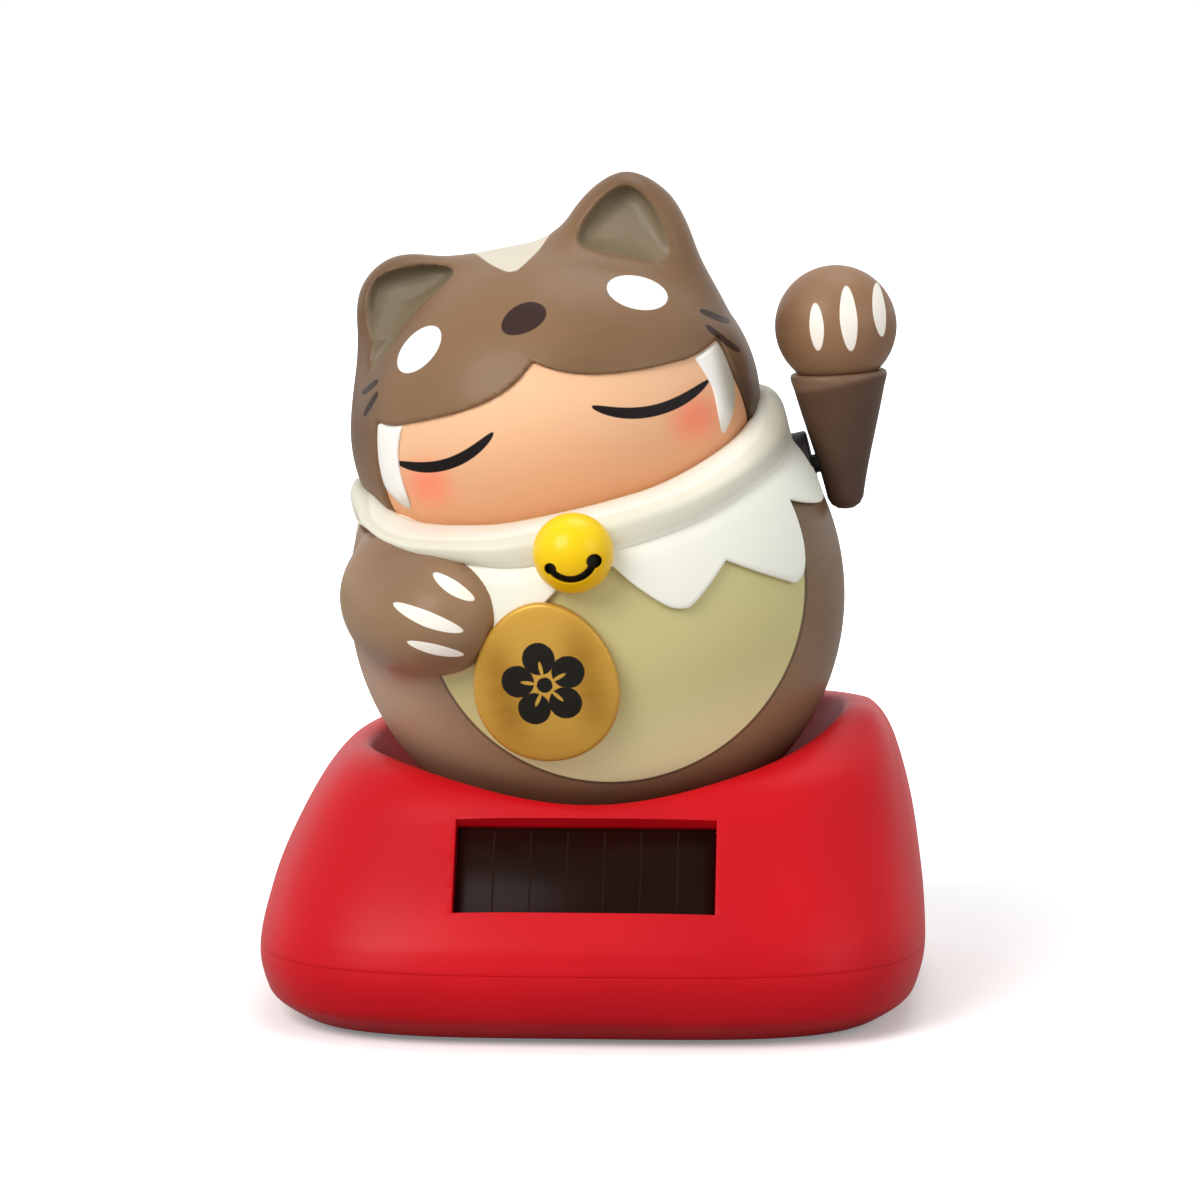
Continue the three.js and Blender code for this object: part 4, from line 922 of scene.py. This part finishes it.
head = {
    "pocket": 1.4, "pocketBack": -3, "rim": 0.5, "cornerRound": 0.9,
    # sides of the face opening: pairs of height and degrees round from the front
    "right": [(18.5, 75.3), (22.6, 70.2), (27.1, 66.6), (29.8, 66.7)],
    "left": [(18.5, 61.7), (21.2, 60.1), (24.8, 58.3), (27.9, 57.3), (30.6, 57.1)],
    # top of the opening: a peak, each side's height, rise to the peak and fade, and a lift near each end
    "brow": {"peak": 0.5, "left": (29.35, 4.75, 4.6), "right": (29.2, 4.9, 6.5),
             "lifts": [(19, 5, 1.5), (-19, -4, 1.7)]},
    "brown": (132, 101, 72), "deepBrown": (107, 80, 56), "inner": (128, 120, 98), "shadedInner": (92, 85, 68),
    "streak": (214, 206, 186), "eyeSpot": (255, 255, 252), "nose": (46, 22, 12), "shadow": (44, 24, 12),
    "eyeSpots": [((-14.1, 38.3), (3.75, 1.95), 32), ((15.1, 39.1), (4.0, 1.85), -28)],
    "noseAt": (0.3, 39.3), "noseHalf": (3.05, 1.75), "whisker": (44, 22, 12), "whiskerHalf": 0.34,
    "whiskers": [((22.3, 34.8), (25.6, 31.9)), ((22.7, 32.8), (26.1, 28.0)),
                 ((-20.6, 35.3), (-23.5, 33.7)), ((-20.9, 33.9), (-23.7, 31.0))],
}
# A dish's floor runs from its high end to its low one: height and y of each.
ears = [
    {"outline": [(5, 46), (10, 51.9), (16.2, 54.1), (21.2, 50.2), (23.2, 43), (23, 34), (14, 33), (6, 39)],
     "root": (14, 37), "middle": (15.5, 46.8), "floor": (51.5, -1.6, 42, -7.2),
     "dish": [(8.9, 46.6), (11.4, 50.2), (16, 52.2), (19, 48.6), (20.2, 41), (14.9, 43.6)]},
    {"outline": [(-3, 43.9), (-4, 38), (-14, 30), (-22, 30), (-23.2, 38), (-21.6, 46.2), (-16.6, 49.8),
                 (-10, 48.5)],
     "root": (-14, 36), "middle": (-16.6, 44.2), "floor": (47.5, -1.6, 40, -7.2),
     "dish": [(-8.6, 46.4), (-14.8, 42.6), (-21.4, 36.8), (-20.9, 42.8), (-18.8, 47.2), (-13.9, 48.1)]},
]
earShape = {"depth": 6.2, "y": -1, "blend": 3.4, "full": 3.4, "dishEdge": 0.8}
face = {
    "sink": 0.6, "thick": 0.7, "wide": 84, "top": 31, "bottom": -38,
    "skin": (246, 196, 154), "lowSkin": (226, 164, 122), "side": (168, 112, 76),
    "blush": (255, 138, 106), "blushes": [(-16.5, 21.3), (19.0, 22.0)], "blushRadius": 5.2, "ink": (12, 3, 2),
    # each eye: the curve's base, rise and lowest x, then its middle, half length and thickness
    "eyes": [((23.45, 0.041, -14.8), -13.3, 7.0, 1.5), ((24.35, 0.037, 15.0), 14.2, 7.5, 1.5)],
}
# The two edges of each tusk from top to tip, as pairs of height and x.
tusks = {
    "tuskRight": ([(30.4, 19.9), (27.4, 21.1), (24.6, 21.8), (20.8, 21.7), (18.4, 21.6)],
                  [(32, 23.2), (27.3, 24.6), (23.2, 24.5), (20.5, 23.5), (18.2, 21.9)]),
    "tuskLeft": ([(32.2, -21.1), (28, -22.6), (24.7, -23.2), (21.3, -22.9), (18.9, -21.2), (18.1, -20.3)],
                 [(30.8, -17.4), (27, -19.2), (24.5, -19.8), (21.8, -19.9), (18.9, -19.75), (18.1, -20.1)]),
}
tuskShape = {"rise": 1.15, "root": -0.75, "deep": 0.4, "fullWidth": 2.2,
             "white": (252, 249, 243), "grey": (214, 208, 198), "side": (164, 154, 132)}


def polarLine(points, middle):  # reach of a closed outline round a point inside it
    loop = smoothLoop(points, 240) - np.array(middle)
    turn = np.arctan2(loop[:, 1], loop[:, 0])
    order = np.argsort(turn)
    turn, reach = turn[order], np.hypot(*loop[order].T)
    return np.concatenate([turn - 2 * math.pi, turn, turn + 2 * math.pi]), np.tile(reach, 3)


for ear in ears:
    ear["reach"] = polarLine(ear["outline"], ear["root"])
    ear["dishReach"] = polarLine(ear["dish"], ear["middle"])


def earField(points, ear):
    across, up = points[:, 0] - ear["root"][0], points[:, 2] - ear["root"][1]
    share = np.hypot(across, up) / np.interp(np.arctan2(up, across), *ear["reach"])
    deep = (points[:, 1] - earShape["y"]) / earShape["depth"]
    return ((share ** earShape["full"] + np.abs(deep) ** 2.2 + 1e-9) ** (1 / 2.6) - 1) * 6


def dishField(points, ear):
    across, up = points[:, 0] - ear["middle"][0], points[:, 2] - ear["middle"][1]
    wall = np.hypot(across, up) - np.interp(np.arctan2(up, across), *ear["dishReach"])
    high, highY, low, lowY = ear["floor"]
    t = np.clip((points[:, 2] - low) / (high - low), 0, 1.2)
    floor = points[:, 1] - (lowY + (highY - lowY) * t ** 0.7)
    return -blended(-wall * 0.85, -floor * 0.8, 2.2)


def browLine(x):  # height of the hood's lower edge above the face
    brow = head["brow"]
    away = x - brow["peak"]
    left, right = (height + rise * np.exp(-np.abs(away) / fade)
                   for height, rise, fade in (brow["left"], brow["right"]))
    line = np.where(away < 0, left, right)
    for start, run, lift in brow["lifts"]:
        line = line + np.clip((x - start) / run, 0, 1) ** 2 * lift
    return line


def openingField(points):  # the face opening: its top seen from the front, its sides by their angle
    x, y, z = points.T
    top = (z - browLine(x)) * np.where(np.abs(x - head["brow"]["peak"]) < 9, 0.82, 0.95)
    turn, reach = np.degrees(np.arctan2(x, -y)), np.hypot(x, y)
    edge = -top
    for side, away in (("right", turn), ("left", -turn)):
        edge = blended(edge, -np.radians(away - curveThrough(head[side])(z)) * reach, head["cornerRound"])
    return -edge


def hoodField(points):
    ball = ovalField(points, (0, 0, skull["middle"]), (skull["across"], skull["along"], skull["up"]))
    solid = ball
    for ear in ears:
        solid = blended(solid, earField(points, ear), earShape["blend"])
    for ear in ears:
        solid = trimmed(solid, dishField(points, ear), earShape["dishEdge"])
    pocket = np.maximum(openingField(points), -(ball + head["pocket"]))
    solid = trimmed(solid, np.maximum(pocket, points[:, 1] - head["pocketBack"]), head["rim"])
    return np.maximum(solid, -onNeck(points))


def onHead(x, z, grow):  # y of the head's surface behind a point seen from the front
    a, b, c = (skull[side] + grow for side in ("across", "along", "up"))
    return -b * np.sqrt(np.maximum(1 - (x / a) ** 2 - ((z - skull["middle"]) / c) ** 2, 0))


def slab(name, outer, inner, columns):  # a closed sheet between two grids of the same size
    rows, count = len(outer) // columns, len(outer)
    faces = turnedOver(gridFaces(rows, columns, False))
    faces += [tuple(index + count for index in reversed(face)) for face in faces]
    border = list(range(columns)) + [row * columns + columns - 1 for row in range(1, rows)]
    border += [(rows - 1) * columns + column for column in range(columns - 2, -1, -1)]
    border += [row * columns for row in range(rows - 2, 0, -1)]
    faces += [(i, j, j + count, i + count) for i, j in zip(border, border[1:] + border[:1])]
    return makeObject(name, np.concatenate([outer, inner]), faces)


def makeFace():
    columns, rows = 190, 120
    bearing = np.radians(np.linspace(-face["wide"], face["wide"], columns))
    grids = []
    for grow in (-face["sink"], -face["sink"] - face["thick"]):
        a, b, c = (skull[side] + grow for side in ("across", "along", "up"))
        grids.append(np.concatenate([
            np.column_stack((a * np.sin(bearing) * math.cos(up), -b * np.cos(bearing) * math.cos(up),
                             np.full(columns, skull["middle"] + c * math.sin(up))))
            for up in np.radians(np.linspace(face["top"], face["bottom"], rows))]))
    return slab("facePlate", *grids, columns)


def makeTusk(name, leftEdge, rightEdge):
    columns, rows = 21, 60
    u = np.linspace(0, 1, columns)
    dome = np.sqrt(np.maximum(1 - (2 * u - 1) ** 2, 0)) ** 0.8
    root, outer, inner = tuskShape["root"], [], []
    for (leftZ, leftX), (rightZ, rightX) in zip(smoothRun(leftEdge, rows), smoothRun(rightEdge, rows)):
        x, z = leftX + (rightX - leftX) * u, leftZ + (rightZ - leftZ) * u
        full = min(1, abs(rightX - leftX) / tuskShape["fullWidth"]) * np.clip((browLine(x) - z) / 0.4, 0, 1)
        outer.append(np.column_stack((x, onHead(x, z, root) - tuskShape["rise"] * dome * full, z)))
        inner.append(np.column_stack((x, onHead(x, z, root - tuskShape["deep"]), z)))
    return slab(name, np.concatenate(outer), np.concatenate(inner), columns)


def markDishes(hood, points):  # how deep each point lies in an ear's dish, for the paint
    depth = np.max([-dishField(points, ear) for ear in ears], axis=0)
    away = [np.hypot(points[:, 0] - ear["middle"][0], points[:, 2] - ear["middle"][1]) for ear in ears]
    depth = np.where((np.min(away, axis=0) < 9) & (points[:, 1] > -12), depth, -1)
    dish = hood.data.attributes.new("dish", "FLOAT", "POINT")
    dish.data.foreach_set("value", np.clip(depth + 0.6, 0, 6).astype(np.float32))


def hoodFinish():
    paint = brownPaint("hoodPaint", head["brown"], head["deepBrown"])
    x, y, z = paint.axes
    front = paint.ramp(y, -2, -3)
    dish = paint.add("ShaderNodeAttribute", {"attribute_name": "dish"}, output=2)
    # Painted shade: the dish's grey-green darkens the deeper it lies.
    inner = paint.mix(paint.ramp(dish, 1.2, 4.5), head["inner"], head["shadedInner"])
    paint.layer(inner, paint.ramp(dish, 0.1, 0.9))
    rise = ((z - 24) / 12).maths("MAXIMUM", 0).maths("MINIMUM", 1)
    width = (y + 12.1).maths("MAXIMUM", 0) ** 0.62 * 1.22 * (rise * (2 - rise)) ** 0.5
    streak = paint.ramp(abs(x + 0.2) - width, 0.15, -0.15) * paint.ramp(z, 23.8, 24.2)
    paint.layer(head["streak"], streak * paint.ramp(y, -12.1, -11.7))
    for spot in head["eyeSpots"]:
        paint.layer(head["eyeSpot"], paint.spot(x, z, *spot, 0.05) * front)
    across, up = x - head["noseAt"][0], z - head["noseAt"][1]
    bent = up - across * 0.12 + across * across * 0.02
    nose = (across / head["noseHalf"][0]) ** 2 + (bent / head["noseHalf"][1]) ** 2 - up * 0.16
    paint.layer(head["nose"], paint.ramp(nose, 1.07, 0.93) * front)
    shadow = paint.ramp(x, 20.5, 24.5) * paint.ramp(z, 31, 20) * paint.ramp(y, 6, -10)
    paint.layer(head["shadow"], shadow * 0.75)
    for start, end in head["whiskers"]:
        middle = ((start[0] + end[0]) / 2, (start[1] + end[1]) / 2)
        turn = math.degrees(math.atan2(end[1] - start[1], end[0] - start[0]))
        half = (math.dist(start, end) / 2, head["whiskerHalf"])
        paint.layer(head["whisker"], paint.spot(x, z, middle, half, turn, 0.2, 4) * front)
    return paint.surface(0.4, 0.05, seamBump(paint))


def faceFinish():
    paint = Finish("facePaint")
    x, z = paint.axes[::2]
    paint.colour = paint.mix(paint.ramp(z, 14, 31), face["lowSkin"], face["skin"])
    for blushX, blushZ in face["blushes"]:
        away = lengthOf(x - blushX, z - blushZ)
        paint.layer(face["blush"], paint.ramp(away, face["blushRadius"], 0.3) * 0.8)
    # Painted shade: the skin darkens towards the right side, next to the hood.
    paint.layer(face["side"], paint.ramp(x, 21.5, 25) * 0.45)
    left, right = (paint.stroke(x, z, *eye) for eye in face["eyes"])
    paint.layer(face["ink"], left.maths("MAXIMUM", right))
    return paint.surface(0.5, 0, (paint.noise(0.6, 2), 0.02, 0.2))


def tuskFinish():
    paint = Finish("tuskPaint")
    x, z = paint.axes[::2]
    paint.colour = paint.mix(paint.ramp(z, 18, 22), tuskShape["grey"], tuskShape["white"])
    # Painted shade on the right half of the right tusk.
    paint.layer(tuskShape["side"], paint.ramp(x, 22.2, 24.2) * 0.85)
    return paint.surface(0.4, 0.05)


hood, hoodPoints = surfaceOf("hood", hoodField, (-29.5, -28.5, 11.5), (29.5, 28.5, 56.5), 0.45)
markDishes(hood, hoodPoints)
finished(hood, hoodFinish(), "figure", "brown_shell", "hood_front_shell", "hood_rear_shell")
print("hood made:", len(hoodPoints), "points")
finished(makeFace(), faceFinish(), "figure", "skin_face", "face_plate")
ivory = tuskFinish()
for name, node in (("tuskRight", "tusk_right"), ("tuskLeft", "tusk_left")):
    finished(makeTusk(name, *tusks[name]), ivory, "figure", "ivory_trim", node)
print("face and tusks made")


# Waving arm

arm = {
    "tip": (34.9, 0, 3.9), "lean": math.radians(9.4), "pawAt": 24.4, "pawRadius": 8.05,
    "profile": [(0, 0), (1.1, 0.18), (1.9, 0.7), (2.4, 1.6), (2.62, 2.8), (3.05, 4.8), (3.75, 7.6),
                (4.5, 10.4), (5.3, 13.4), (6.02, 16.3), (6.3, 17.2), (6.42, 17.75), (6.3, 18.2),
                (5.95, 18.38), (5.4, 18.3), (0, 17.9)],
    "brown": (144, 109, 80), "deepBrown": (112, 82, 60), "claw": (252, 244, 232),
    "cone": (94, 68, 51), "deepCone": (80, 60, 49), "coneLipHighlight": (124, 96, 76),
    "claws": [((36.6, 29.0), (3.1, 0.95), 81), ((40.9, 29.1), (4.2, 1.15), 82),
              ((45.0, 29.1), (3.4, 0.85), 84)],
}
bush = {"axis": 10.7, "flange": 4.6, "hub": 2.7, "root": 28.5, "inner": 29.4, "end": 31.9, "round": 0.35}


def onArm(points):
    return inFigure(leaned(points, arm["lean"], arm["tip"]))


def onAxle(points):  # a lathe axis along the arm's axle
    x, y, z = points.T
    return inFigure(np.column_stack((z, y, bush["axis"] - x)))


def pawFinish():
    paint = brownPaint("pawPaint", arm["brown"], arm["deepBrown"])
    x, y, z = paint.axes
    for claw in arm["claws"]:
        paint.layer(arm["claw"], paint.spot(x, z, *claw, 0.06, 1.6) * paint.ramp(y, 0, -0.6))
    return paint.surface(0.42, 0.04, (paint.grain, 0.05, 0.3))


def coneFinish():
    paint = brownPaint("forearmPaint", arm["cone"], arm["deepCone"])
    # Painted highlight along the forearm's top lip.
    paint.layer(arm["coneLipHighlight"], paint.ramp(paint.axes[2], 20.2, 21.2))
    return paint.surface(0.45, 0.03, (paint.grain, 0.05, 0.3))


def makePaw():
    turns, radius, at = np.radians(np.linspace(-90, 90, 61))[1:-1], arm["pawRadius"], arm["pawAt"]
    profile = [(radius * math.cos(turn), at + radius * math.sin(turn)) for turn in turns]
    return turnedSolid("raisedPaw", [(0, at - radius), *profile, (0, at + radius)], 96, onArm)


def makeBush():
    hub, flange, soft = bush["hub"], bush["flange"], bush["round"]
    root, inner, end = bush["root"], bush["inner"], bush["end"]
    profile = [(0, root), (hub, root), (hub, inner), (flange, inner), (flange, end - soft),
               (flange - soft * 0.3, end - soft * 0.3), (flange - soft, end), (0, end)]
    return sharpen(turnedSolid("shoulderBush", profile, 64, onAxle), 40)


finished(makePaw(), pawFinish(), "arm", "brown_shell", "raised_paw")
finished(turnedSolid("forearm", arm["profile"], 72, onArm), coneFinish(), "arm", "brown_shell", "forearm")
blackPlastic = plainFinish("blackPlastic", (26, 22, 20), 0.45)
finished(makeBush(), blackPlastic, "figure", "bush_black", "shoulder_bush")
print("arm made")


# Works inside, which keep their solids

works = [
    (plainFinish("nylon", (232, 230, 218), 0.5),
     ["pivot_yoke", "coil_bobbin", "magnet_carrier", "arm_lever"]),
    (plainFinish("boardGreen", (31, 107, 58), 0.45), ["circuit_board"]),
    (plainFinish("copperWire", (184, 103, 47), 0.35, 1, (150, 78, 34), 3), ["drive_coil"]),
    (plainFinish("blackEpoxy", (21, 21, 21), 0.6), ["control_chip"]),
    (plainFinish("canSleeve", (39, 50, 79), 0.4), ["storage_capacitor"]),
    (plainFinish("redLead", (196, 32, 32), 0.5), ["cell_lead_red"]),
    (plainFinish("blackLead", (27, 27, 27), 0.5), ["cell_lead_black"]),
    (plainFinish("nickel", (150, 152, 155), 0.25, 1), ["drive_magnet"]),
    (plainFinish("blackSteel", (34, 31, 29), 0.45, 0.6), ["arm_axle"]),
    (steel, ["pivot_pin", "arm_weight", "balance_weight_left", "balance_weight_right",
             "yoke_screw_1", "yoke_screw_2", "board_screw_1", "board_screw_2"]),
]
for material, names in works:
    for name in names:
        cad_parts[name].data.materials.clear()
        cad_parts[name].data.materials.append(material)
print("works finished")


# Floor, light and camera, in metres

studio = {"distance": 0.75, "azimuth": math.radians(2.7), "elevation": math.radians(8),
          "target": (0.0004, 0, 0.0524), "frameWidth": 0.16, "sensor": 36, "sky": 0.47, "nearGlow": 0.2,
          "floor": (0.55, 0.55, 0.55, 1), "white": (1, 1, 1, 1), "floorHalf": 3}
lamps = [
    ("keyLamp", (-0.55, -0.7, 0.7), 0.7, 8.2, (1, 0.985, 0.96)),
    ("fillLamp", (0.8, -0.5, 0.45), 0.6, 1.8, (0.97, 0.985, 1)),
    ("topLamp", (0.1, 0.25, 0.95), 0.6, 2.2, (1, 1, 1)),
]


def makeFloor():
    mesh = bpy.data.meshes.new("floor")
    half = studio["floorHalf"]
    mesh.from_pydata([(x * half, y * half, 0) for x, y in squareCorners], [], [(0, 1, 2, 3)])
    paint = Finish("paleFloor", False)
    seen = paint.add("ShaderNodeLightPath")
    lit = paint.add("ShaderNodeBsdfDiffuse", None, {"Color": studio["floor"]})
    bright = paint.add("ShaderNodeBsdfDiffuse", None, {"Color": studio["white"]})
    near = studio["nearGlow"]
    strength = paint.ramp(lengthOf(*paint.axes[:2]), 60, 260) * (1 - near) + near
    glow = paint.add("ShaderNodeEmission", None, {"Color": studio["white"], "Strength": strength})
    shown = paint.add("ShaderNodeAddShader", None, {0: bright, 1: glow})
    paint.add("ShaderNodeOutputMaterial", None, {
        0: paint.add("ShaderNodeMixShader", None, {0: seen, 1: lit, 2: shown})})
    mesh.materials.append(paint.material)
    floor = linked(bpy.data.objects.new("floor", mesh))


def makeSky():  # white to the camera and in reflections, dimmer as light
    world = bpy.data.worlds.new("studio")
    scene.world = world
    world.use_nodes = True
    world.node_tree.nodes.clear()
    sky = Tree(world.node_tree)
    camera, glossy, through = (sky.add("ShaderNodeLightPath", output=output) for output in (0, 3, 6))
    seen = camera.maths("MAXIMUM", glossy).maths("MAXIMUM", through)
    strength = seen * (1 - studio["sky"]) + studio["sky"]
    light = sky.add("ShaderNodeBackground", None, {0: studio["white"], 1: strength})
    sky.add("ShaderNodeOutputWorld", None, {0: light})


def aim(thing, place):  # points a lamp or the camera at the figurine
    thing.location = place
    thing.rotation_euler = (Vector(studio["target"]) - Vector(place)).to_track_quat("-Z", "Y").to_euler()
    return linked(thing)


def makeLamps():
    for name, place, size, power, tint in lamps:
        data = bpy.data.lights.new(name, "AREA")
        data.shape, data.size, data.energy, data.color = "DISK", size, power, tint
        aim(bpy.data.objects.new(name, data), place)


def makeCamera():
    data = bpy.data.cameras.new("camera")
    data.sensor_width = studio["sensor"]
    data.lens = studio["sensor"] * studio["distance"] / studio["frameWidth"]
    flat = studio["distance"] * math.cos(studio["elevation"])
    offset = Vector((flat * math.sin(studio["azimuth"]), -flat * math.cos(studio["azimuth"]),
                     studio["distance"] * math.sin(studio["elevation"])))
    scene.camera = aim(bpy.data.objects.new("camera", data), Vector(studio["target"]) + offset)


makeFloor()
makeSky()
makeLamps()
makeCamera()
print("studio set up")
